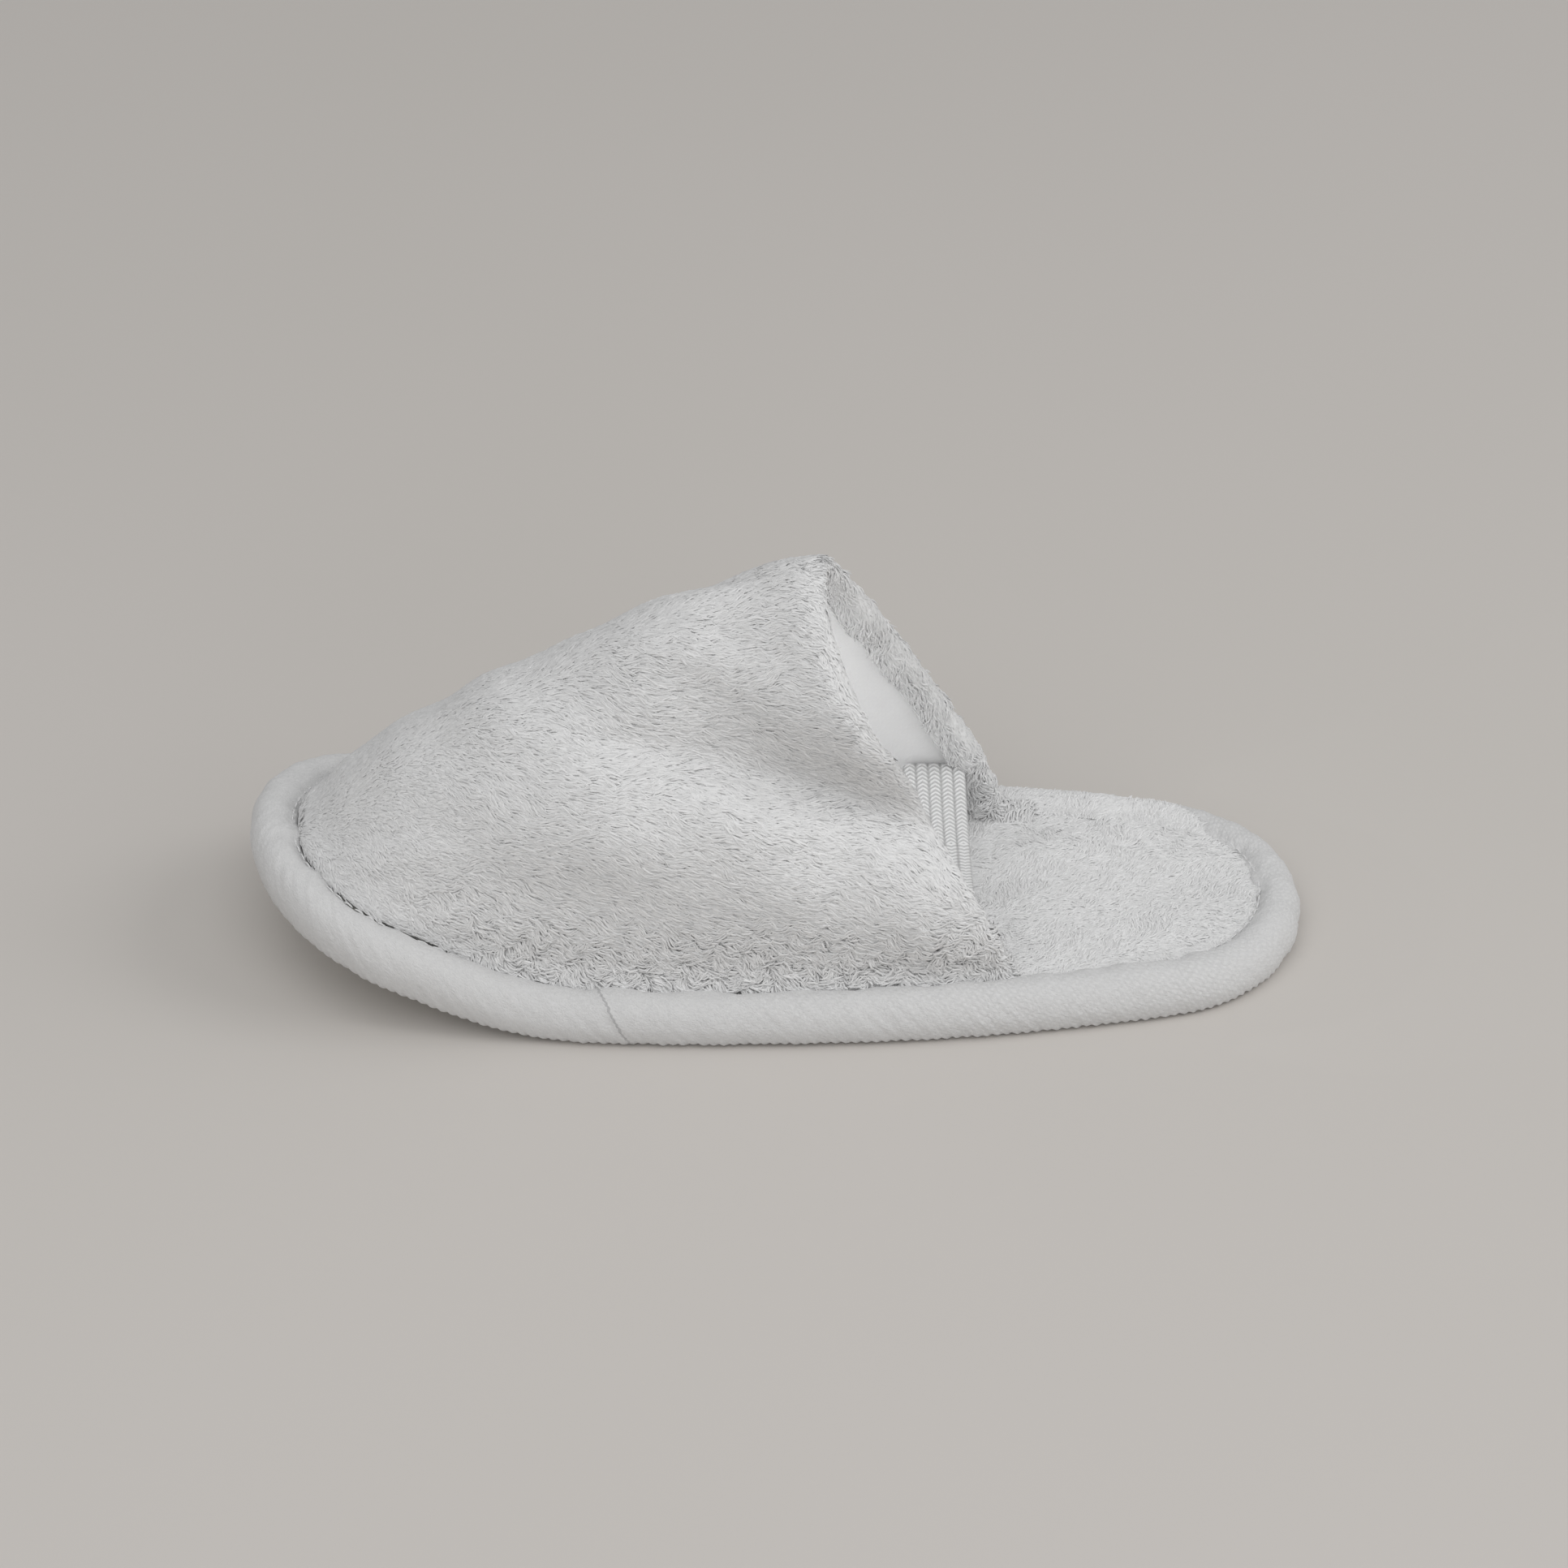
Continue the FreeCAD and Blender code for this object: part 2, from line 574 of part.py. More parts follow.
NODES = [
    "outsole_sheet", "sole_cushion", "insole_plush", "binding_tape",
    "binding_top_stitches", "binding_under_stitches",
    "upper_plush", "upper_edge", "upper_foam", "upper_lining", "collar_stitches",
    "heel_strap", "strap_end_near", "strap_end_far",
]
os.makedirs("parts", exist_ok=True)
for label in NODES:
    node = doc.getObjectsByLabel(label)[0]
    shape = node.Shape
    if shape.isNull() or not shape.isValid():
        raise RuntimeError(label + " is not a valid shape")
    shape.exportStep("parts/%s.step" % label)
    box = shape.BoundBox
    print("%-24s %8.0f mm3  x %.1f %.1f  y %.1f %.1f  z %.1f %.1f  solids %d" % (
        label, shape.Volume, box.XMin, box.XMax, box.YMin, box.YMax, box.ZMin, box.ZMax,
        len(shape.Solids)))
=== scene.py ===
# %% [markdown]
# # A white plush slipper
# This notebook dresses the imported CAD model of a child's closed-toe spa slipper.
# Each step explains itself first and then makes one thing.
# We begin by loading the CAD frame.

# %% load the frame
import math

import bpy
import numpy as np
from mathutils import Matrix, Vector, kdtree


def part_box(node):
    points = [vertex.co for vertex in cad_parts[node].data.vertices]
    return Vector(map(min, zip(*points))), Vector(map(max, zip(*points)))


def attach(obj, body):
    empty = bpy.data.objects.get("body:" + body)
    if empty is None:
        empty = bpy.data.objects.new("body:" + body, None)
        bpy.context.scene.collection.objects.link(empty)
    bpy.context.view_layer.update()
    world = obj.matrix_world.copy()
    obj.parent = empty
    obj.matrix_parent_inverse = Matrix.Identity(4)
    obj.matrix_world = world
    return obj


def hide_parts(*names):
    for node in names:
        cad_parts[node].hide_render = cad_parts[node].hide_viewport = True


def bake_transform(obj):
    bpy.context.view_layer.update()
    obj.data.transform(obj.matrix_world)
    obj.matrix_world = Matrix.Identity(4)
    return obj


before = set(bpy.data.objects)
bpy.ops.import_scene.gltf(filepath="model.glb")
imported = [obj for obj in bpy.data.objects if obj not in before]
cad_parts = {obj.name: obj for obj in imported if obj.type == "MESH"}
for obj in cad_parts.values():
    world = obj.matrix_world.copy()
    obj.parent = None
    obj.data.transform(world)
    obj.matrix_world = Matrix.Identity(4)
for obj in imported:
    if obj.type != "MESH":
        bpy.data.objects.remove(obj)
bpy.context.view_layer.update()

# %% [markdown]
# ## Sizes
# The shapes are worked out in millimetres and turned into metres when a mesh is made.
# The sole's plan is four arcs, and its side view is flat, then bends, then slopes up to the toe.

# %% sizes of the sole
MM = 0.001
HALF_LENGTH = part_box("binding_tape")[1].x / MM
TOE_RADIUS = 36.0      # plan radius of the toe end
HEEL_RADIUS = 34.0     # plan radius of the heel end
FLANK_RADIUS = 396.0   # plan radius of the two long sides
BEND_START = 38.0      # the sole starts to rise this far before its middle
BEND_RADIUS = 65.0     # how gently it rises
RISE = math.radians(21.5)
INSOLE_TOP = 8.6
TAPE_TOP = 9.5
TOE_X = -(HALF_LENGTH - TOE_RADIUS)
HEEL_X = HALF_LENGTH - HEEL_RADIUS
span = HEEL_X - TOE_X
toe_gap = FLANK_RADIUS - TOE_RADIUS
heel_gap = FLANK_RADIUS - HEEL_RADIUS
FLANK_X = TOE_X + (toe_gap ** 2 - heel_gap ** 2 + span ** 2) / (2 * span)
FLANK_Y = math.sqrt(toe_gap ** 2 - (FLANK_X - TOE_X) ** 2)
TOE_TURN = math.atan2(FLANK_Y, TOE_X - FLANK_X)
HEEL_TURN = math.atan2(FLANK_Y, HEEL_X - FLANK_X)


def ease(low, high, x):
    """0 at low, 1 at high, a smooth change between, and level beyond; low may be the larger."""
    t = np.clip((x - low) / (high - low), 0, 1)
    return t * t * (3 - 2 * t)


def half_width(x, inset=0.0):
    """Half the sole's width at x, for its outline moved in by inset."""
    toe, heel, flank = TOE_RADIUS - inset, HEEL_RADIUS - inset, FLANK_RADIUS - inset
    at_toe = np.sqrt(np.maximum(toe ** 2 - (x - TOE_X) ** 2, 0))
    at_heel = np.sqrt(np.maximum(heel ** 2 - (x - HEEL_X) ** 2, 0))
    at_side = np.sqrt(flank ** 2 - (x - FLANK_X) ** 2) - FLANK_Y
    side = np.where(x > HEEL_X + heel * math.cos(HEEL_TURN), at_heel, at_side)
    return np.where(x < TOE_X + toe * math.cos(TOE_TURN), at_toe, side)


def level(x, offset):
    """Height at x of the layer that lies offset above the curved underside."""
    radius = BEND_RADIUS - offset
    back = np.maximum(-BEND_START - x, 0)
    turn = radius * math.sin(RISE)
    bend = BEND_RADIUS - np.sqrt(radius ** 2 - np.minimum(back, turn) ** 2)
    return bend + np.maximum(back - turn, 0) * math.tan(RISE)


def outline(count):
    """Evenly spaced points round the sole's outside edge, and the inward direction at each."""
    arcs = [
        (TOE_X, 0.0, TOE_RADIUS, TOE_TURN, 2 * math.pi - TOE_TURN),
        (FLANK_X, FLANK_Y, FLANK_RADIUS, -TOE_TURN, -HEEL_TURN),
        (HEEL_X, 0.0, HEEL_RADIUS, -HEEL_TURN, HEEL_TURN),
        (FLANK_X, -FLANK_Y, FLANK_RADIUS, HEEL_TURN, TOE_TURN),
    ]
    lengths = [radius * (end - start) for _, _, radius, start, end in arcs]
    total = sum(lengths)
    along = np.arange(count) * total / count
    points, inward = np.zeros((count, 2)), np.zeros((count, 2))
    begin = 0.0
    for (x, y, radius, start, end), length in zip(arcs, lengths):
        here = (along >= begin) & (along < begin + length)
        angle = start + (along[here] - begin) / radius
        out = np.stack([np.cos(angle), np.sin(angle)], 1)
        points[here] = np.array([x, y]) + radius * out
        inward[here] = -out
        begin += length
    return points, inward, along, total


print("sole outline:", round(outline(8)[3]), "mm round")
print("sole at its widest:", round(2 * float(half_width(FLANK_X)), 1), "mm")

# %% [markdown]
# ## Small helpers
# Grids of points become meshes here. `drift` is a soft, repeatable unevenness: a few crossing waves.

# %% mesh helpers
def unit(v):
    """The same directions, each of length 1."""
    return v / np.maximum(np.linalg.norm(v, axis=-1, keepdims=True), 1e-9)


def drift(points, wavelength, seed, waves=9):
    """A smooth random value at each point, about -1.5 to 1.5, that changes over a wavelength in mm."""
    rng = np.random.default_rng(seed)
    directions = unit(rng.normal(size=(waves, points.shape[-1])))
    scales = rng.uniform(0.7, 1.5, waves) * wavelength
    phases = rng.uniform(0, 2 * math.pi, waves)
    value = np.zeros(points.shape[:-1])
    for direction, scale, phase in zip(directions, scales, phases):
        value = value + np.sin(points @ direction * (2 * math.pi / scale) + phase)
    return value * math.sqrt(2 / waves)


def mesh_piece(name, points_mm, faces, materials, uv=None, material_index=None):
    """Make a smooth-shaded object from points in mm and faces of one size; uv is one pair per point."""
    faces = np.asarray(faces, np.int32)
    mesh = bpy.data.meshes.new(name)
    mesh.vertices.add(len(points_mm))
    mesh.vertices.foreach_set("co", (np.asarray(points_mm) * MM).astype(np.float32).ravel())
    corners = faces.shape[1]
    mesh.loops.add(faces.size)
    mesh.loops.foreach_set("vertex_index", faces.ravel())
    mesh.polygons.add(len(faces))
    mesh.polygons.foreach_set("loop_start", np.arange(0, faces.size, corners, dtype=np.int32))
    mesh.polygons.foreach_set("loop_total", np.full(len(faces), corners, np.int32))
    mesh.polygons.foreach_set("use_smooth", np.ones(len(faces), bool))
    for material in materials:
        mesh.materials.append(material)
    if material_index is not None:
        mesh.polygons.foreach_set("material_index", np.asarray(material_index, np.int32))
    mesh.update(calc_edges=True)
    if uv is not None:
        layer = mesh.uv_layers.new(name="cloth")
        layer.data.foreach_set("uv", np.asarray(uv, np.float32)[faces.ravel()].ravel())
    mesh.validate()
    piece = bpy.data.objects.new(name, mesh)
    bpy.context.scene.collection.objects.link(piece)
    return piece


def grid_faces(rows, columns, wrap_rows=False, wrap_columns=False):
    """Four-cornered faces over a grid of points, closed round in either direction if asked."""
    r = np.arange(rows if wrap_rows else rows - 1)
    c = np.arange(columns if wrap_columns else columns - 1)
    r, c = [a.ravel() for a in np.meshgrid(r, c, indexing="ij")]
    r2, c2 = (r + 1) % rows, (c + 1) % columns
    return np.stack([r * columns + c, r2 * columns + c, r2 * columns + c2, r * columns + c2], 1)


def grid_normals(grid):
    """Unit normals of a grid of points from its two directions."""
    return unit(np.cross(np.gradient(grid, axis=0), np.gradient(grid, axis=1)))


# %% [markdown]
# ## Materials
# Everything is white cloth, so the difference is in the surface: the pile is matt with a soft sheen,
# the tape is brushed knit, the lining is finer brushed tricot and the strap is woven elastic.
# White polyester cloth gives back 80 to 90 percent of the light, because a purer white would glow.

# %% material helpers
def linear(hex_colour):
    """An sRGB colour such as E8E8E6 as the linear values that shaders use."""
    values = [int(hex_colour[i:i + 2], 16) / 255 for i in (0, 2, 4)]
    return [v / 12.92 if v <= 0.04045 else ((v + 0.055) / 1.055) ** 2.4 for v in values] + [1.0]


def add(material, kind, settings=None, **inputs):
    """Add a shader node; each input is a value or a socket to link.

    An input is named with _ for a space, or is i and its number where names repeat.
    """
    tree = material.node_tree
    node = tree.nodes.new("ShaderNode" + kind)
    for name, value in (settings or {}).items():
        setattr(node, name, value)
    for name, value in inputs.items():
        numbered = name[0] == "i" and name[1:].isdigit()
        socket = node.inputs[int(name[1:]) if numbered else name.replace("_", " ")]
        if isinstance(value, bpy.types.NodeSocket):
            tree.links.new(value, socket)
        else:
            socket.default_value = value
    return node


def new_material(name, **surface):
    """A material with one Principled shader, whose plain values are set by name."""
    material = bpy.data.materials.new(name)
    material.use_nodes = True
    shader = material.node_tree.nodes["Principled BSDF"]
    for key, value in surface.items():
        shader.inputs[key.replace("_", " ")].default_value = value
    return material, shader


def join(material, output, shader, name):
    """Link a node's output to a named input of the shader."""
    material.node_tree.links.new(output, shader.inputs[name])


def two_tone(material, shader, factor, dark, light):
    """Colour the shader between two cloth whites by a 0 to 1 pattern."""
    mix = add(material, "MixRGB", i0=factor, i1=linear(dark), i2=linear(light))
    join(material, mix.outputs[0], shader, "Base Color")


def raised(material, shader, height, strength, distance_mm):
    """Let a pattern stand up from the surface as a bump of a real height."""
    bump = add(material, "Bump", Height=height, Strength=strength, Distance=distance_mm * MM)
    join(material, bump.outputs[0], shader, "Normal")


# %% [markdown]
# Coral fleece pile: three near-whites, given to the tufts at random, so that neighbouring tufts part.
# A little sheen gives the pale rim that fine fibres have where they turn away from the eye.

# %% pile whites
PILE_WHITES = []
for name, colour in (("coral_fleece_light", "F0F0F0"), ("coral_fleece_mid", "ECECEC"),
                     ("coral_fleece_deep", "E6E6E6")):
    material, shader = new_material(name, Roughness=0.95, Sheen_Weight=0.25, Sheen_Roughness=0.5)
    shader.inputs["Base Color"].default_value = linear(colour)
    shader.inputs["Specular IOR Level"].default_value = 0.2
    PILE_WHITES.append(material)

# %% [markdown]
# The cloth under the pile is a knitted ground; its small loops are about 1 mm apart.

# %% knitted ground
knit_ground, shader = new_material("fleece_knit_ground", Roughness=0.95, Sheen_Weight=0.2)
place = add(knit_ground, "TexCoord")
loops = add(knit_ground, "TexVoronoi", {"feature": "F1"}, Vector=place.outputs["Object"], Scale=1100.0)
mottle = add(knit_ground, "TexNoise", Vector=place.outputs["Object"], Scale=160.0, Detail=3.0)
two_tone(knit_ground, shader, mottle.outputs[0], "E6E6E6", "EEEEEE")
raised(knit_ground, shader, loops.outputs["Distance"], 0.6, 0.4)

# %% [markdown]
# Brushed tricot, for the tape and, finer, for the lining: a knit of small hexagonal cells, napped
# until it looks like felt in places. Three crossing cosines 1.2 mm long make cells 1.4 mm apart. One
# noise bends their rows a little, as knitting does, and a slow noise says where the nap hides them.
# The knit shows more towards the heel, where the tape is worn. The colour follows the same height as the
# bump, so the cloth is darker wherever it lies lower: painted shade in the knit's cells and between the
# nap's fibres, over the nap's own uneven tone.

# %% tape and lining cloth
def knit_cells(material, uv, pitch_mm):
    """A smooth hexagonal pattern, -1 to 1, from cloth coordinates in mm."""
    total = None
    for angle in (0, 60, 120):
        wave = 2 * math.pi / pitch_mm
        direction = (wave * math.cos(math.radians(angle)), wave * math.sin(math.radians(angle)), 0)
        phase = add(material, "VectorMath", {"operation": "DOT_PRODUCT"}, i0=uv, i1=direction)
        wave_node = add(material, "Math", {"operation": "COSINE"}, i0=phase.outputs["Value"])
        if total is None:
            total = wave_node.outputs[0]
        else:
            total = add(material, "Math", {"operation": "ADD"}, i0=total,
                        i1=wave_node.outputs[0]).outputs[0]
    return add(material, "Math", {"operation": "MULTIPLY"}, i0=total, i1=0.4).outputs[0]


def brushed_knit(name, dark, light, pitch_mm, knit_share, nap_share, sheen, relief_mm):
    """A brushed knit: hexagonal cells showing in patches through a fine nap."""
    material, shader = new_material(name, Roughness=0.9, Sheen_Weight=sheen, Sheen_Roughness=0.4)
    shader.inputs["Specular IOR Level"].default_value = 0.25
    uv = add(material, "UVMap", {"uv_map": "cloth"}).outputs[0]
    warp = add(material, "TexNoise", Vector=uv, Scale=0.5, Detail=2.0)
    shift = add(material, "VectorMath", {"operation": "MULTIPLY_ADD"}, i0=warp.outputs["Color"],
                i1=(1.1, 1.1, 0.0), i2=uv)
    cells = knit_cells(material, shift.outputs[0], pitch_mm)
    patches = add(material, "TexNoise", Vector=uv, Scale=0.045, Detail=2.0)
    place = add(material, "TexCoord")
    axes = add(material, "SeparateXYZ", i0=place.outputs["Object"])
    heelward = add(material, "MapRange", i0=axes.outputs[0], i1=-0.03, i2=0.03, i3=0.15, i4=1.0)
    worn = add(material, "MapRange", i0=patches.outputs[0], i1=0.35, i2=0.6, i3=0.35, i4=1.0)
    shows = add(material, "Math", {"operation": "MULTIPLY"}, i0=heelward.outputs[0], i1=worn.outputs[0])
    knit = add(material, "Math", {"operation": "MULTIPLY"}, i0=cells, i1=shows.outputs[0])
    nap = add(material, "TexNoise", Vector=uv, Scale=2.2, Detail=5.0, Roughness=0.65)
    stretched = add(material, "VectorMath", {"operation": "MULTIPLY"}, i0=uv, i1=(1.0, 1.8, 1.0))
    fibres = add(material, "TexNoise", Vector=stretched.outputs[0], Scale=1.3, Detail=4.0, Distortion=1.2)
    knit_part = add(material, "Math", {"operation": "MULTIPLY"}, i0=knit.outputs[0], i1=knit_share)
    nap_part = add(material, "Math", {"operation": "MULTIPLY_ADD"}, i0=nap.outputs[0], i1=nap_share,
                   i2=knit_part.outputs[0])
    height = add(material, "Math", {"operation": "MULTIPLY_ADD"}, i0=fibres.outputs[0], i1=nap_share,
                 i2=nap_part.outputs[0])
    # Painted shade: the colour is darker where the knit and nap lie lower.
    two_tone(material, shader, height.outputs[0], dark, light)
    raised(material, shader, height.outputs[0], 0.8, relief_mm)
    rough = add(material, "MapRange", i0=fibres.outputs[0], i1=0.3, i2=0.7, i3=0.82, i4=0.97)
    join(material, rough.outputs[0], shader, "Roughness")
    return material


tape_tricot = brushed_knit("brushed_tricot_tape", "C7C7C7", "E8E8E8", 1.2, 0.18, 0.65, 0.3, 0.32)
lining_tricot = brushed_knit("brushed_tricot_lining", "F0F0F0", "FAFAFA", 0.9, 0.10, 0.5, 0.35, 0.12)

# %% [markdown]
# Woven elastic: five ribs bound by a polyester weft that crosses each rib in a V. The yarn gives it
# a faint silky shine, so it is a little less rough than the pile. The V pattern is a sine whose phase
# lags towards a rib's edges. Its threads are drawn a little coarser than real ones, so that they show.
# Its colour is painted light and shade: darker in the grooves at rib edges and between weft threads.

# %% woven elastic
STRAP_WIDTH = 12.5
RIBS = 5
RIB_PITCH = STRAP_WIDTH / RIBS
COURSE = 1.2           # one weft thread to the next
SLANT = 0.75           # how far a thread lags from a rib's middle to its edge, in courses

elastic, shader = new_material("woven_elastic", Roughness=0.7, Sheen_Weight=0.15)
uv = add(elastic, "UVMap", {"uv_map": "cloth"}).outputs[0]
strap_axes = add(elastic, "SeparateXYZ", i0=uv)
lane_in = add(elastic, "Math", {"operation": "ADD"}, i0=strap_axes.outputs[0], i1=STRAP_WIDTH / 2)
from_edge = add(elastic, "Math", {"operation": "PINGPONG"}, i0=lane_in.outputs[0], i1=RIB_PITCH / 2)
lag = add(elastic, "Math", {"operation": "MULTIPLY_ADD"}, i0=from_edge.outputs[0],
          i1=-2 * math.pi * SLANT * 2 / RIB_PITCH, i2=2 * math.pi * SLANT - math.pi / 2)
turns = add(elastic, "Math", {"operation": "MULTIPLY_ADD"}, i0=strap_axes.outputs[1],
            i1=2 * math.pi / COURSE, i2=lag.outputs[0])
weft = add(elastic, "Math", {"operation": "SINE"}, i0=turns.outputs[0])
# Painted shade in the grooves at each rib's edges, painted light on the weft threads.
painted_groove_shade = add(elastic, "MapRange", i0=from_edge.outputs[0], i1=0.0, i2=0.45, i3=0.15, i4=1.0)
lit = add(elastic, "MapRange", i0=weft.outputs[0], i1=-0.6, i2=0.5, i3=0.25, i4=1.0)
yarn = add(elastic, "TexNoise", Vector=uv, Scale=3.0, Detail=4.0)
painted_light_and_shade = add(elastic, "Math", {"operation": "MULTIPLY"}, i0=painted_groove_shade.outputs[0], i1=lit.outputs[0])
two_tone(elastic, shader, painted_light_and_shade.outputs[0], "B4B4B4", "EEEEEE")
raised(elastic, shader, yarn.outputs[0], 0.5, 0.08)
print("elastic:", RIBS, "ribs", RIB_PITCH, "mm apart")

# %% [markdown]
# Sewing thread: twisted, mercerised cotton, which catches the light in slanting bands. The bands are
# painted highlight in its colour, and a bump as well.

# %% sewing thread
thread, shader = new_material("cotton_thread", Roughness=0.75, Sheen_Weight=0.1)
place = add(thread, "TexCoord")
twist = add(thread, "TexWave", {"bands_direction": "DIAGONAL"}, Vector=place.outputs["Object"], Scale=900.0)
# Painted highlight: lighter slanting bands along the twist.
two_tone(thread, shader, twist.outputs[0], "D8D8D8", "EEEEEE")
raised(thread, shader, twist.outputs[0], 0.4, 0.06)
print("made", thread.name)

# %% [markdown]
# The outsole is foamed EVA with a moulded skin: a fine orange-peel grain about 1 mm across, and
# slow patches where it is scuffed smoother or rougher.

# %% outsole skin
eva_skin, shader = new_material("eva_foam_skin", Roughness=0.6)
place = add(eva_skin, "TexCoord")
peel = add(eva_skin, "TexNoise", Vector=place.outputs["Object"], Scale=900.0, Detail=3.0)
scuffs = add(eva_skin, "TexNoise", Vector=place.outputs["Object"], Scale=45.0, Detail=5.0)
two_tone(eva_skin, shader, scuffs.outputs[0], "D4D4D0", "E6E6E3")
raised(eva_skin, shader, peel.outputs[0], 0.5, 0.15)
rough = add(eva_skin, "MapRange", i0=scuffs.outputs[0], i1=0.3, i2=0.7, i3=0.5, i4=0.75)
join(eva_skin, rough.outputs[0], shader, "Roughness")
print("made", eva_skin.name)

# %% [markdown]
# The cushion is open polyurethane foam, faintly yellow, with bubbles about half a millimetre across. Each
# bubble's hollow is coloured darker than its walls, as painted shade.

# %% cushion foam
soft_foam, shader = new_material("polyurethane_foam", Roughness=0.9)
place = add(soft_foam, "TexCoord")
bubbles = add(soft_foam, "TexVoronoi", {"feature": "F1"}, Vector=place.outputs["Object"], Scale=1800.0)
# Painted shade: darker in each bubble's hollow, where the bump is lowest.
two_tone(soft_foam, shader, bubbles.outputs["Distance"], "D2D2C8", "E2E2DA")
raised(soft_foam, shader, bubbles.outputs["Distance"], 0.7, 0.3)
print("materials:", sorted(m.name for m in bpy.data.materials))

# %% [markdown]
# ## Camera
# A long lens looks down on the side of the slipper, with the toe to the left.

# %% camera
CAMERA_DISTANCE = 1.2
CAMERA_HEIGHT_ANGLE = math.radians(36)
CAMERA_TURN = math.radians(1.0)
flat = math.cos(CAMERA_HEIGHT_ANGLE) * CAMERA_DISTANCE
eye = Vector((-math.sin(CAMERA_TURN) * flat, -math.cos(CAMERA_TURN) * flat,
              math.sin(CAMERA_HEIGHT_ANGLE) * CAMERA_DISTANCE))
aim = Vector((0.0014, 0.0167, 0.0232))
camera_data = bpy.data.cameras.new("long_lens")
camera_data.sensor_width = 36
camera_data.lens = 136.5
camera = bpy.data.objects.new("camera", camera_data)
camera.location = eye
camera.rotation_euler = (aim - eye).to_track_quat("-Z", "Y").to_euler()
bpy.context.scene.collection.objects.link(camera)
bpy.context.scene.camera = camera

# %% [markdown]
# ## Upper: the padded cloth
# The upper is one arch after another from toe to collar, so a surface built from two functions fits
# it better than a modelled box would. `crown` gives the height of each arch, and `arch` gives a
# point on it for an angle t, from the near foot over the crown to the far foot.

# %% plain arches
UPPER_INSET = 9.3      # foot of the upper, in from the sole's outline
TOE_TIP = -(HALF_LENGTH - UPPER_INSET)
CROWN_TOP = 89.9
CROWN_SLOPE = 0.35     # how fast the crown falls towards the toe
CROWN_DROOP = 0.00195  # how much faster it falls for each millimetre
TOE_CAP = 20.0         # length over which the toe rounds up
APEX_X = 8.0           # the crown stops rising here
COLLAR_FOOT = (46.7, TAPE_TOP)
COLLAR_TOP = 90.0
COLLAR_LEAN = (APEX_X - COLLAR_FOOT[0]) / (COLLAR_TOP - COLLAR_FOOT[1])
CLOTH_DEPTH = 1.0      # the pile hides the cloth, which lies this far inside
LINING_DEPTH = 3.5     # the lining lies this far inside
ROLL = 1.9             # radius of the turned-over rim
FAR_ROLL = 2.7         # the same on the far side, where it stands fuller


def crown(x):
    """Height of the crown above the insole at x."""
    back = np.maximum(APEX_X - x, 0)
    line = CROWN_TOP - CROWN_SLOPE * back - CROWN_DROOP * back ** 2
    into_cap = np.clip((x - TOE_TIP) / TOE_CAP, 0, 1)
    return (line - level(x, INSOLE_TOP)) * np.sqrt(1 - (1 - into_cap) ** 2)


def arch(x, t):
    """The plain arch at x: round at the toe and more pointed towards the collar."""
    share = np.clip((x - TOE_TIP) / (APEX_X - TOE_TIP), 0, 1)
    power = 2 / (2.0 - 0.45 * share)
    across = np.sign(np.cos(t)) * np.abs(np.cos(t)) ** power
    up = np.maximum(np.sin(t), 0) ** power
    half = half_width(x, UPPER_INSET)
    return np.stack([x, -half * across, level(x, INSOLE_TOP) + crown(x) * up], -1)


def collar_x(z):
    """Where the collar's straight, slanting cut lies at height z."""
    return COLLAR_FOOT[0] + COLLAR_LEAN * (z - COLLAR_FOOT[1])


print("crown over the insole:", round(float(crown(APEX_X)), 1), "mm")

# %% [markdown]
# Soft cloth doesn't stand as a clean arch. The near side has slumped: a valley runs down it towards
# the opening, with a fuller belly below. Each of these is a bell curve round a line on the surface,
# which puts it exactly where it belongs; a free simulation would put it somewhere else each time.

# %% slump
def slump(points, t, to_collar):
    """How far the real, soft cloth stands out from the plain arch, in mm, at each point."""
    x, z = points[..., 0], points[..., 2]
    foot = np.maximum(z - level(x, INSOLE_TOP), 0)
    near = ease(math.pi / 2 + 0.05, math.pi / 2 - 0.45, t)
    valley_z = np.interp(x, (-60, -45, -14, 10, 25, 38), (59.5, 59.5, 54, 46.5, 41.5, 36.5))
    spread = np.where(z < valley_z, 4.8, 8.6)
    valley = -7.6 * ease(-58, -4, x) * np.exp(-((z - valley_z) / spread) ** 2)
    belly = 3.6 * ease(-80, -30, x) * np.exp(-((z - valley_z + 17) / 11) ** 2)
    above = 2.0 * ease(-50, -10, x) * np.exp(-((z - valley_z - 15) / 8) ** 2)
    hollow = -2.6 * np.exp(-((x + 19) / 14) ** 2 - ((z - 67) / 7) ** 2)
    roll = 1.1 * np.exp(-((to_collar - 4) / 4) ** 2) - 0.9 * np.exp(-((to_collar - 17) / 8) ** 2)
    sag = near * (valley + belly + above + hollow + roll * ease(14, 30, foot)) * ease(0, 8, foot)
    lumps = 0.30 * drift(points, 34, 11) + 0.22 * drift(points, 14, 12)
    flare = (2.1 - 1.2 * ease(-50, -75, x)) * (1 - ease(0, 6, foot))
    full_toe = 0.7 * ease(-95, -75, x) * ease(-12, -40, x) * ease(10, 30, foot)
    return sag + lumps * ease(0, 12, foot) + (flare + full_toe)


# %% [markdown]
# The grid's columns run over the arch and its rows run from the toe to the collar. The collar is a
# slanting cut with gentle waves. Where it lies depends on its height, and its height on where it
# lies, so a few rounds that go half the way each time settle it.

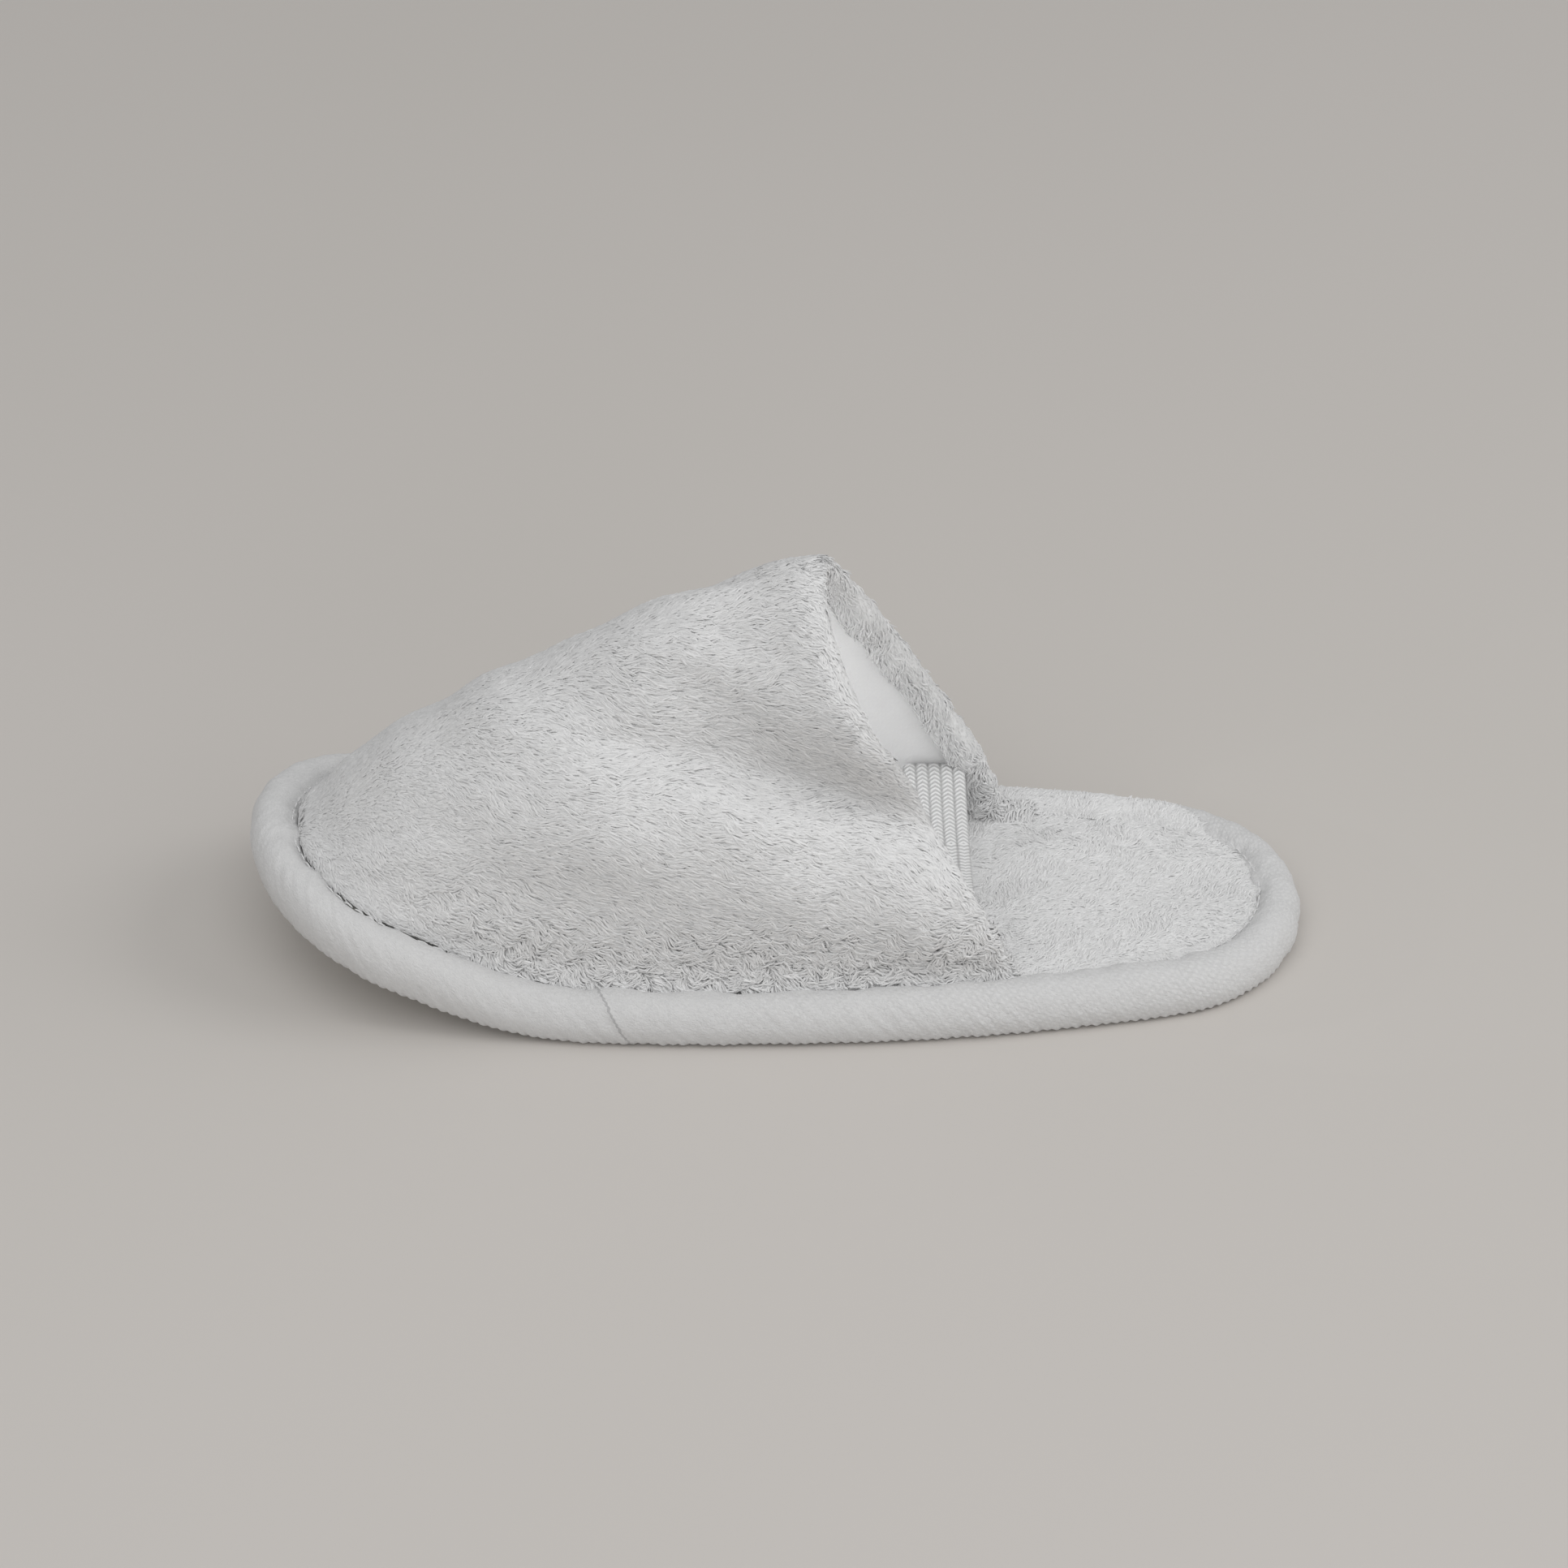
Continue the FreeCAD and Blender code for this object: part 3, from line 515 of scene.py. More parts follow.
# %% upper cloth grid
ROWS, COLUMNS = 150, 220
COLLAR_ROUNDS = 25
EVEN_SPAN = 8          # columns to each side over which the collar's line is averaged
t_line = np.linspace(0, math.pi, COLUMNS)
row_share = 1 - np.cos(0.5 * math.pi * np.linspace(0.02, 1, ROWS))
edge_x = np.full(COLUMNS, 30.0)
for _ in range(COLLAR_ROUNDS):
    edge_z = arch(edge_x, t_line)[:, 2]
    near_shift = np.interp(edge_z, (12, 28, 45, 60, 76, 88), (0, 1.2, -1.6, -3.2, -3.0, -0.6))
    far_shift = np.interp(edge_z, (12, 25, 40, 60, 88), (1.0, 3.4, 2.2, 1.2, -0.6))
    shift = np.where(t_line < math.pi / 2, near_shift, far_shift)
    edge_x = 0.5 * edge_x + 0.5 * (collar_x(edge_z) - ROLL - 0.9 + shift)
weights = np.ones(2 * EVEN_SPAN + 1) / (2 * EVEN_SPAN + 1)
edge_x[EVEN_SPAN:-EVEN_SPAN] = np.convolve(edge_x, weights, "same")[EVEN_SPAN:-EVEN_SPAN]
x_grid = TOE_TIP + (edge_x[None, :] - TOE_TIP) * row_share[:, None]
t_grid = np.broadcast_to(t_line, x_grid.shape)
plain = arch(x_grid, t_grid)
stands_out = slump(plain, t_grid, edge_x - x_grid) - CLOTH_DEPTH
cloth = plain + grid_normals(plain) * stands_out[..., None]
outward = grid_normals(cloth)
print("upper cloth grid", cloth.shape, "crown", round(float(cloth[..., 2].max()), 1), "mm")

# %% [markdown]
# The padding pushes the cloth out between its sewn edges. A short cloth simulation does that on a
# coarser net of the same points: the foot, the toe and the collar are pinned, a light pressure acts
# from inside, and no point may move further than the cap. Its movement is then added to the fine grid.

# %% settle the cloth
NET_ROWS, NET_COLUMNS = 48, 72


def settle(grid, pressure, cap, frames=20):
    """Blow a pinned net of the grid out with the cloth solver; returns the movement on the fine grid."""
    rows, columns = grid.shape[:2]
    picked_rows = np.linspace(0, rows - 1, NET_ROWS).round().astype(int)
    picked_columns = np.linspace(0, columns - 1, NET_COLUMNS).round().astype(int)
    net = grid[np.ix_(picked_rows, picked_columns)]
    piece = mesh_piece("settling_net", net.reshape(-1, 3), grid_faces(NET_ROWS, NET_COLUMNS), [])
    sewn = np.zeros((NET_ROWS, NET_COLUMNS), bool)
    sewn[:3] = sewn[-1:] = True
    sewn[:, :2] = sewn[:, -2:] = True
    pins = piece.vertex_groups.new(name="sewn")
    pins.add(np.where(sewn.ravel())[0].tolist(), 1.0, "REPLACE")
    cloth_solver = piece.modifiers.new("padding", "CLOTH")
    settings = cloth_solver.settings
    settings.quality = 6
    settings.mass = 0.15
    settings.tension_stiffness = settings.compression_stiffness = 12
    settings.bending_stiffness = 0.4
    settings.use_pressure = True
    settings.uniform_pressure_force = pressure
    settings.vertex_group_mass = "sewn"
    settings.effector_weights.gravity = 0
    scene = bpy.context.scene
    cloth_solver.point_cache.frame_start = 1
    cloth_solver.point_cache.frame_end = frames
    for frame_number in range(1, frames + 1):
        scene.frame_set(frame_number)
    done = piece.evaluated_get(bpy.context.evaluated_depsgraph_get()).to_mesh()
    after = np.empty(len(done.vertices) * 3, np.float32)
    done.vertices.foreach_get("co", after)
    move = after.reshape(net.shape) / MM - net
    size = np.linalg.norm(move, axis=-1, keepdims=True)
    move = move * np.minimum(1, cap / np.maximum(size, 1e-6))
    print("cloth settled: mean %.2f mm, most %.2f mm" % (size.mean(), size.max()))
    mesh = piece.data
    bpy.data.objects.remove(piece)
    bpy.data.meshes.remove(mesh)
    scene.frame_set(1)
    for _ in range(2):
        move[1:-1, 1:-1] = 0.5 * move[1:-1, 1:-1] + 0.125 * (move[:-2, 1:-1] + move[2:, 1:-1]
                                                              + move[1:-1, :-2] + move[1:-1, 2:])
    all_rows = np.stack([[np.interp(np.arange(rows), picked_rows, move[:, j, k]) for k in range(3)]
                         for j in range(NET_COLUMNS)], 0).transpose(2, 0, 1)
    return np.stack([[np.interp(np.arange(columns), picked_columns, all_rows[i, :, k]) for k in range(3)]
                     for i in range(rows)], 0).transpose(0, 2, 1)


cloth = cloth + settle(cloth, pressure=40.0, cap=2.5)
outward = grid_normals(cloth)

# %% [markdown]
# The rim is the same cloth rolled over the collar's edge and turned in. The grid carries on round the
# roll and 4 mm down the inside, where the smooth lining takes over. The directions are averaged over
# neighbouring columns first, or the roll would fold over itself at the narrow crown.

# %% rolled rim
ROLL_ROWS = 13         # rows of the grid round the roll
INNER_ROWS = 5         # rows down the inside
INNER_STEP = 0.8


def evened(directions, width=11):
    """Unit directions averaged over neighbouring columns, so that they turn gently at the crown."""
    half = width // 2
    padded = np.concatenate([directions[..., :1, :]] * half + [directions]
                            + [directions[..., -1:, :]] * half, axis=-2)
    return unit(sum(padded[..., k:k + directions.shape[-2], :] for k in range(width)))


edge = cloth[-1]
edge_out = evened(outward[-1])
edge_on = evened(unit(cloth[-1] - cloth[-4]))
edge_on = unit(edge_on - edge_out * (edge_on * edge_out).sum(-1, keepdims=True))
roll_radius = ROLL + (FAR_ROLL - ROLL) * ease(math.pi / 2 + 0.1, math.pi / 2 + 0.7, t_line)
roll_radius = (roll_radius * (1 + 0.10 * drift(edge, 16, 21)))[:, None]
middle = edge - edge_out * roll_radius
rim_rows, rim_out = [], []
for turn in np.linspace(0, math.pi, ROLL_ROWS + 1)[1:]:
    rim_out.append(edge_out * math.cos(turn) + edge_on * math.sin(turn))
    rim_rows.append(middle + roll_radius * rim_out[-1])
inside = rim_rows[-1]
for k in range(1, INNER_ROWS + 1):
    back = INNER_STEP * k
    rim_rows.append(inside - edge_on * back + edge_out * (0.5 * ease(0, 4.0, back)))
    rim_out.append(-edge_out)
plush_grid = np.concatenate([cloth, np.array(rim_rows)], 0)
plush_out = np.concatenate([evened(outward), np.array(rim_out)], 0)
plush_across = evened(unit(np.gradient(cloth, axis=1)))
plush_across = np.concatenate([plush_across] + [plush_across[-1:]] * len(rim_rows), 0)
print("plush grid with its rim", plush_grid.shape)

# %% [markdown]
# The lining is the same surface moved in by the padding's thickness, on a coarser grid.
# The padded wall is closed: plush cloth outside, rim, and a back face that lies on the lining.

# %% padded wall
LINING_ROWS = 110
lining_picks = np.linspace(0, ROWS - 1, LINING_ROWS).astype(int)
lining_out = outward[lining_picks]
lining_grid = cloth[lining_picks] - lining_out * (LINING_DEPTH - CLOTH_DEPTH)


def cloth_uv(grid):
    """Flat cloth coordinates in mm, measured along the grid's two directions."""
    down = np.cumsum(np.linalg.norm(np.diff(grid, axis=0, prepend=grid[:1]), axis=-1), axis=0)
    across = np.cumsum(np.linalg.norm(np.diff(grid, axis=1, prepend=grid[:, :1]), axis=-1), axis=1)
    return np.stack([down, across], -1).reshape(-1, 2)


back_face = lining_grid[::-1] + lining_out[::-1] * 0.5
shell_grid = np.concatenate([plush_grid, back_face], 0)
shell = mesh_piece("upper_wall", shell_grid.reshape(-1, 3),
                   grid_faces(shell_grid.shape[0], COLUMNS), [knit_ground], cloth_uv(shell_grid))
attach(shell, "slipper")
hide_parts("upper_plush", "upper_foam", "upper_edge")
print("wall points", len(shell.data.vertices))

# %% [markdown]
# The lining is one piece of tricot, stretched over the inside of the wall and sewn at its edges.

# %% lining
lining_faces = grid_faces(LINING_ROWS, COLUMNS)[:, ::-1]
lining = mesh_piece("upper_lining_cloth", lining_grid.reshape(-1, 3), lining_faces,
                    [lining_tricot], cloth_uv(lining_grid))
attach(lining, "slipper")
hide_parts("upper_lining")
diagonals = lining_grid[1:, :-1] - lining_grid[:-1, 1:], lining_grid[1:, 1:] - lining_grid[:-1, :-1]
lining_area = float(0.5 * np.linalg.norm(np.cross(*diagonals), axis=-1).sum()) * MM ** 2
girth_across = np.linalg.norm(np.diff(lining_grid, axis=1), axis=-1).sum(1).max()
length_down = np.linalg.norm(np.diff(lining_grid, axis=0), axis=-1).sum(0).max()
print("lining %.5f square metres, cut %.0f by %.0f mm" % (lining_area, girth_across, length_down))

# %% [markdown]
# ## Pile
# Coral fleece is a forest of fine fibres in soft locks. A hair system could grow it, but an exported
# model keeps only meshes, so each tuft here is a thin, closed, curved strand of mesh.
# `scatter` spreads the roots evenly over a grid by area.

# %% roots
def scatter(grid, count, rng, out=None, sideways=None):
    """Roots spread over a grid: point, normal, the two grid directions, row, column, and the area.

    The directions come from the grid's cells, or from the grids out and sideways when given.
    """
    corners = grid[:-1, :-1], grid[1:, :-1], grid[1:, 1:], grid[:-1, 1:]
    twice_area = np.linalg.norm(np.cross(corners[2] - corners[0], corners[3] - corners[1]), axis=-1)
    running = np.cumsum(0.5 * twice_area)
    picks = (np.arange(count) + rng.uniform(0, 1, count)) / count * running[-1]
    cell = np.minimum(np.searchsorted(running, picks), len(running) - 1)
    row, column = np.divmod(cell, grid.shape[1] - 1)
    down, aside = rng.uniform(0, 1, (2, count, 1))
    p00, p10, p11, p01 = [corner[row, column] for corner in corners]
    point = (p00 * (1 - down) + p10 * down) * (1 - aside) + (p01 * (1 - down) + p11 * down) * aside
    along = unit((p10 - p00) * (1 - aside) + (p11 - p01) * aside)
    across = unit((p01 - p00) * (1 - down) + (p11 - p10) * down)
    normal = unit(np.cross(along, across))
    row, column = row + down[:, 0], column + aside[:, 0]
    if out is not None:
        nearest = row.round().astype(int), column.round().astype(int)
        normal = out[nearest]
        along = unit(np.cross(sideways[nearest], normal))
        across = np.cross(normal, along)
    return point, normal, along, across, row, column, running[-1]


# %% [markdown]
# Fibres of a washed fleece cling together. A random few strands lead a lock each, and the tips of the
# strands nearest to a leader are drawn towards the leader's tip. `bend` gives each strand's four
# control points, from its root to its tip.

# %% locks
def nearest_lock(points, share, rng):
    """For each strand, the number of the nearest of a random few, which leads its lock."""
    leaders = rng.choice(len(points), max(int(len(points) * share), 1), replace=False)
    tree = kdtree.KDTree(len(leaders))
    for i, leader in enumerate(leaders):
        tree.insert(points[leader], i)
    tree.balance()
    return leaders[[tree.find(p)[1] for p in points]]


def bend(root, normal, comb, length, lift, curl, gather, lock_share, rng):
    """Control points of each strand, which rises, lies over along its comb and leans to its lock."""
    count = len(root)
    side = unit(np.cross(normal, comb))
    sway = rng.normal(0, 1, (2, count, 1)) * curl[:, None]
    length, lift = length[:, None], lift[:, None]
    start = root - normal * 0.25
    knee = root + (normal * lift * 1.25 + comb * 0.22 + side * sway[0] * 0.15) * length
    bow = root + (normal * lift * 1.15 + comb * 0.62 + side * sway[0] * 0.45) * length
    tip = root + (normal * lift * 0.55 + comb * 0.98 + side * sway[1] * 0.5) * length
    leader = nearest_lock(root, lock_share, rng)
    pull = gather[:, None] * rng.uniform(0.6, 1.0, (count, 1))
    tip = tip + (tip[leader] - tip) * pull
    bow = bow + (bow[leader] - bow) * pull * 0.55
    return start, knee, bow, tip


# %% [markdown]
# `grow` sweeps a three-sided ring along each strand. A round thread this thin would look like wire, so
# its normals are turned part of the way to the cloth's own, and the pile takes the light as one surface.

# %% strands
STRAND_RINGS = 4
STRAND_SIDES = 3
RING_WIDTHS = np.array([0.8, 1.0, 0.85, 0.25])     # shares of the full width, from root to tip
STRANDS_PER_PIECE = 7000


def grow(name, root, normal, comb, length, lift, width, curl, gather, lock_share, seed,
         evenness=0.95):
    """Make the strands in a few pieces; sizes in mm, one value per strand.

    evenness is how far a strand takes the light like the cloth under it rather than like a round thread.
    """
    rng = np.random.default_rng(seed)
    count = len(root)
    controls = bend(root, normal, comb, length, lift, curl, gather, lock_share, rng)
    start, knee, bow, tip = [point[:, None, :] for point in controls]
    s = np.linspace(0, 1, STRAND_RINGS)[None, :, None]
    spine = start * (1 - s) ** 3 + 3 * knee * s * (1 - s) ** 2 + 3 * bow * s ** 2 * (1 - s) + tip * s ** 3
    tangent = unit(np.gradient(spine, axis=1))
    side = unit(np.cross(tangent, normal[:, None, :] + 0.01))
    over = np.cross(side, tangent)
    spokes = np.arange(STRAND_SIDES) * (2 * math.pi / STRAND_SIDES)
    turn = rng.uniform(0, 2 * math.pi, (count, 1, 1)) + spokes
    ring = side[:, :, None, :] * np.cos(turn)[..., None] + over[:, :, None, :] * np.sin(turn)[..., None]
    points = spine[:, :, None, :] + ring * RING_WIDTHS[:, None, None] * (0.5 * width)[:, None, None, None]
    soft = unit(ring + np.reshape(evenness, (-1, 1, 1, 1)) * normal[:, None, None, :])
    band = grid_faces(STRAND_RINGS, STRAND_SIDES, wrap_columns=True)
    first = np.array([0, 2, 1])
    last = (STRAND_RINGS - 1) * STRAND_SIDES + np.array([0, 1, 2])
    triangles = np.concatenate([band[:, [0, 1, 2]], band[:, [0, 2, 3]], [first], [last]])
    tint = rng.integers(0, len(PILE_WHITES), count)
    heelward = np.argsort(root[:, 0], kind="stable")
    groups = np.array_split(heelward, max(1, math.ceil(count / STRANDS_PER_PIECE)))
    for k, chosen in enumerate(groups):
        offsets = np.arange(len(chosen))[:, None, None] * (STRAND_RINGS * STRAND_SIDES)
        faces = (triangles[None] + offsets).reshape(-1, 3)
        piece = mesh_piece("%s_%02d" % (name, k + 1), points[chosen].reshape(-1, 3), faces, PILE_WHITES,
                           material_index=np.repeat(tint[chosen], len(triangles)))
        piece.data.normals_split_custom_set_from_vertices(soft[chosen].reshape(-1, 3))
        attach(piece, "slipper")
    print(name, count, "strands in", len(groups), "pieces,", count * len(triangles), "triangles")


def turned(comb, normal, angle):
    """Turn each comb direction about the normal by an angle."""
    side = np.cross(normal, comb)
    return unit(comb * np.cos(angle)[:, None] + side * np.sin(angle)[:, None])


# %% [markdown]
# On the upper the pile lies down and back, away from the crown and the toe, and follows the edge on
# the rim. It is longest in the open, trodden short at the toe, and curls up in tangled locks low down.

# %% pile of the upper
STRAND_SHARE = 1.0
rng = np.random.default_rng(5)
roots, normals, along, across, row, column, area = scatter(plush_grid, int(105000 * STRAND_SHARE), rng,
                                                           plush_out, plush_across)
count = len(roots)
side_turn = column / (COLUMNS - 1) * math.pi
far = ease(math.pi / 2 + 0.05, math.pi / 2 + 0.5, side_turn)
foot = roots[:, 2] - level(roots[:, 0], INSOLE_TOP)
low = ease(22, 3, foot) * ease(-82, -52, roots[:, 0])
worn = ease(-48, -72, roots[:, 0])
near_edge = ease(ROWS - 9, ROWS + 1, row)
on_rim = ease(ROWS - 3, ROWS + 4, row)
inner_end = ease(ROWS + 13, ROWS + 17, row)
off_crown = ease(0.05, 0.5, np.abs(side_turn - math.pi / 2))

downhill = -np.cos(side_turn)[:, None] * across
comb = unit(along * 0.85 + downhill * 0.75)
edge_run = -np.sign(np.cos(side_turn))[:, None] * across
share = (0.75 * near_edge * off_crown)[:, None]
comb = unit(comb * (1 - share) + edge_run * share)
comb = turned(comb, normals, 0.16 * drift(roots, 24, 31) + (0.18 + 0.55 * low) * drift(roots, 5, 32)
              + rng.normal(0, 0.26, count))

edge_trim = 0.9 - 0.5 * ease(math.pi / 2, math.pi / 2 + 0.5, side_turn)
length = 3.3 - edge_trim * near_edge - 0.2 * on_rim - 0.9 * inner_end - 0.4 * low - 1.3 * worn
length = length * rng.uniform(0.75, 1.15, count)
lift = (0.12 + 0.26 * low + 0.07 * near_edge * off_crown - 0.04 * worn) * rng.uniform(0.6, 1.4, count)
width = (0.42 + 0.05 * low) * rng.uniform(0.75, 1.2, count) / math.sqrt(STRAND_SHARE)
curl = 0.16 + 0.40 * low + 0.10 * on_rim
gather = 0.42 + 0.16 * low
evenness = 1.5 - 0.8 * low * (1 - far) - far * (0.6 + 0.55 * near_edge)
grow("upper_pile", roots, normals, comb, length, lift, width, curl, gather, 0.07, 6,
     evenness=evenness)
print("plush area", round(area / 100), "square cm")

# %% [markdown]
# ## Insole
# The insole is a thin pad, trodden down in the heel, with one soft crease on its far
# side. It could be a subdivided plane, but a grid of rows and columns holds the crease in fewer points.

# %% insole
INSOLE_INSET = 8.4
PAD_TOP = 8.1          # the pad's top, under its pile
PAD_BASE = 6.95
insole_rows, insole_columns = 200, 90
reach = HALF_LENGTH - INSOLE_INSET
x_rows = 1.2 - (reach - 1.3) * np.cos(np.linspace(0.03, math.pi - 0.03, insole_rows))
v_columns = np.linspace(-1, 1, insole_columns)
x_pad = np.repeat(x_rows[:, None], insole_columns, 1)
tuck = 2.4 * ease(-5, -40, x_pad)
y_pad = (half_width(x_pad, INSOLE_INSET) - tuck) * v_columns[None, :]
flat_points = np.stack([x_pad, y_pad], -1)
rim_fall = ease(0.80, 1.0, np.abs(v_columns))[None, :]
tread = -0.7 * np.exp(-((x_pad - 68) / 24) ** 2 - (y_pad / 17) ** 2)
crease_line = np.abs((x_pad - 66) + (y_pad - 21) * 0.8 + 1.2 * drift(flat_points, 15, 41))
crease = -0.45 * np.exp(-(crease_line / 1.3) ** 2) * ease(8, 16, y_pad) * ease(31, 23, y_pad)
lumps = 0.2 * drift(flat_points, 18, 42) * (1 - rim_fall)
z_pad = level(x_pad, PAD_TOP) + tread + crease + lumps - 0.2 * rim_fall
pad_top = np.stack([x_pad, y_pad, z_pad], -1)
pad_base = np.stack([x_pad, y_pad, level(x_pad, PAD_BASE)], -1)
pad_grid = np.concatenate([pad_top, pad_base[:, ::-1]], 1)
insole = mesh_piece("insole_pad", pad_grid.reshape(-1, 3),
                    grid_faces(insole_rows, 2 * insole_columns, wrap_columns=True),
                    [knit_ground], cloth_uv(pad_grid))
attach(insole, "slipper")
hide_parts("insole_plush")
print("insole pad", round(2 * reach), "mm long")

# %% [markdown]
# Its pile is shorter and trodden in every direction. It grows only where the upper leaves it in view.

# %% pile of the insole
def short_pile(name, roots, normals, comb, length, lift, lift_most, rng, seed):
    """Trodden insole pile from its mean length in mm, and its mean lift and most lift as shares."""
    count = len(roots)
    lengths = length * rng.uniform(0.7, 1.15, count)
    lifts = lift * rng.uniform(0.4, lift_most, count)
    widths = 0.38 * rng.uniform(0.75, 1.2, count) / math.sqrt(STRAND_SHARE)
    grow(name, roots, normals, comb, lengths, lifts, widths,
         np.full(count, 0.35), np.full(count, 0.4), 0.12, seed)


rng = np.random.default_rng(7)
open_part = pad_top[x_rows > -30]
roots, normals, along, across = scatter(open_part, int(36000 * STRAND_SHARE), rng)[:4]
normals = normals * np.sign(normals[:, 2:3])
comb = unit(along * 0.8 + across * 0.5 + 0.001)
comb = turned(comb, normals, 0.5 * drift(roots, 20, 51) + 0.4 * drift(roots, 6, 52)
              + rng.normal(0, 0.35, len(roots)))
short_pile("insole_pile", roots, normals, comb, 2.0, 0.10, 1.6, rng, 8)

# %% [markdown]
# ## Binding tape
# A folded tape is sewn round the sole's layers and holds them together. A curve with a bevel could
# draw it, but the seam, the lap and the wrinkles need their own shape at every step, so a closed
# section is carried round the outline here. It is thick and soft, so the section is full and round.

# %% binding section
SECTION = np.array([
    (9.4, 6.9), (9.25, 7.9), (8.8, 8.55), (8.0, 8.95), (6.9, 9.5), (5.4, 9.85), (3.8, 9.65),
    (2.2, 8.75), (0.95, 7.3), (0.2, 5.5), (0.0, 4.2), (0.25, 2.5), (0.95, 1.0), (2.1, 0.2),
    (3.4, 0.0), (5.0, 0.0), (7.0, 0.02), (8.8, 0.08), (9.3, 0.7), (9.4, 3.5),
])


def curve_between(p0, p1, p2, p3, share):
    """The smooth curve through four points, at a share of the way from p1 to p2."""
    return 0.5 * (2 * p1 + (p2 - p0) * share + (2 * p0 - 5 * p1 + 4 * p2 - p3) * share ** 2
                  + (3 * p1 - p0 - 3 * p2 + p3) * share ** 3)


def closed_curve(corners, count):
    """Evenly spaced points on a smooth closed curve through the corners, and the run to each."""
    walk = np.linspace(0, len(corners), 1200, endpoint=False)
    first, share = walk.astype(int), (walk % 1)[:, None]
    curve = curve_between(*[corners[(first + i) % len(corners)] for i in (-1, 0, 1, 2)], share)
    steps = np.linalg.norm(np.diff(curve, axis=0, append=curve[:1]), axis=1)
    run = np.concatenate([[0], np.cumsum(steps)])
    want = np.linspace(0, run[-1], count, endpoint=False)
    closed = np.vstack([curve, curve[:1]])
    return np.stack([np.interp(want, run, closed[:, i]) for i in range(2)], 1), want


TAPE_STEPS, TAPE_RING = 900, 72
SECTION_MIDDLE = np.array([4.7, 4.9])
section, girth = closed_curve(SECTION, TAPE_RING)
section_out = unit(np.roll(section, -1, 0) - np.roll(section, 1, 0))
section_out = np.stack([section_out[:, 1], -section_out[:, 0]], 1)
section_out *= np.sign(((section - SECTION_MIDDLE) * section_out).sum(1, keepdims=True))
inset = section[None, :, 0]
height = section[None, :, 1]
edge_points, inward, along, perimeter = outline(TAPE_STEPS)
print("tape", round(perimeter), "mm round")

# %% [markdown]
# The tape's end laps over its start on the near side with a slanting edge, so the run along the tape
# starts at the lap. The seam pinches the tape near its inner edge and puckers it between stitches,
# and the cloth wrinkles where it goes round the heel.

# %% lap, seam and wrinkles
STITCH = 3.2           # one stitch to the next
SEAM_INSET = 8.3       # the upper seam, in from the outline
LAP_X = -31.5
LAP_SLANT = -0.55
near_side = np.where(edge_points[:, 1] < 0)[0]
lap_at = along[near_side[np.argmin(np.abs(edge_points[near_side, 0] - LAP_X))]]
s_grid = np.repeat(along[:, None], TAPE_RING, 1)
g_grid = np.repeat(girth[None, :], TAPE_STEPS, 0)
s_grid = (s_grid - lap_at + LAP_SLANT * (g_grid - girth[np.argmin(section[:, 0])])) % perimeter
ring_angle = 2 * math.pi * s_grid / perimeter
round_trip = np.stack([60 * np.cos(ring_angle), 60 * np.sin(ring_angle), g_grid], -1)
on_top = ease(6.5, 8.5, height)
pucker = 0.5 - 0.5 * np.cos(2 * math.pi * s_grid / STITCH)
uneven = 0.5 + 0.5 * np.tanh(drift(np.stack([s_grid, 0 * g_grid], -1), 14, 64))
wrinkle = drift(np.stack([s_grid + g_grid * 0.6, g_grid * 0.35], -1), 6.5, 61)
fine_wrinkle = drift(np.stack([s_grid - g_grid * 0.5, g_grid * 0.3], -1), 3.0, 62)
amount = 0.05 + 0.03 * ease(60, 95, edge_points[:, 0])[:, None]
bulge = amount * wrinkle + 0.04 * fine_wrinkle + 0.10 * drift(round_trip, 45, 63)
seam_pinch = on_top * np.exp(-((inset - SEAM_INSET) / 0.8) ** 2)
bulge = bulge - seam_pinch * (0.3 + 0.25 * uneven * (1 - pucker))
bulge = bulge + 0.08 * uneven * pucker * on_top * ease(6.0, 8.0, inset)
inner_waves = drift(np.stack([s_grid, 0.3 * g_grid], -1), 10, 65)
bulge = bulge + 0.30 * on_top * ease(5.5, 8.0, inset) * inner_waves
low_edge = np.exp(-((height - 0.9) / 0.9) ** 2) * ease(4.5, 2.5, inset)
bulge = bulge + 0.2 * low_edge * np.cos(2 * math.pi * s_grid / 2.0)
lap_step = ease(24, 3, s_grid) + ease(perimeter - 1.1, perimeter, s_grid)
bulge = bulge + 0.32 * lap_step * ease(3.0, 8.0, height)
print("lap at", round(float(lap_at)), "mm, bulge", round(float(np.abs(bulge).max()), 2), "mm at most")

# %% [markdown]
# Feet tread the far side flatter behind the collar, and the tape hangs a little where the toe rises.

# %% tape mesh
def pressed(xy):
    """How far the tape's top is trodden down, as a share of its height; only far behind the collar."""
    return 0.09 * ease(10, 25, xy[:, 1]) * ease(30, 50, xy[:, 0]) * ease(101, 90, xy[:, 0])


offset = section[None] + section_out[None] * bulge[..., None]
offset[..., 1] *= 1 - pressed(edge_points)[:, None] * ease(2, 8, offset[..., 1])
offset[..., 1] = np.maximum(offset[..., 1], 0.0)
hang = ease(-45, -70, edge_points[:, 0])[:, None]
offset[..., 1] -= hang * ease(6, 0, offset[..., 1]) * ease(6, 0, offset[..., 0])
tape_x = edge_points[:, None, 0] + inward[:, None, 0] * offset[..., 0]
tape_y = edge_points[:, None, 1] + inward[:, None, 1] * offset[..., 0]
tape_grid = np.stack([tape_x, tape_y, level(tape_x, offset[..., 1])], -1)
tape = mesh_piece("binding_cover", tape_grid.reshape(-1, 3),
                  grid_faces(TAPE_STEPS, TAPE_RING, wrap_rows=True, wrap_columns=True),
                  [tape_tricot], np.stack([s_grid, g_grid], -1).reshape(-1, 2))
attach(tape, "slipper")
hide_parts("binding_tape")
print("tape points", len(tape.data.vertices))

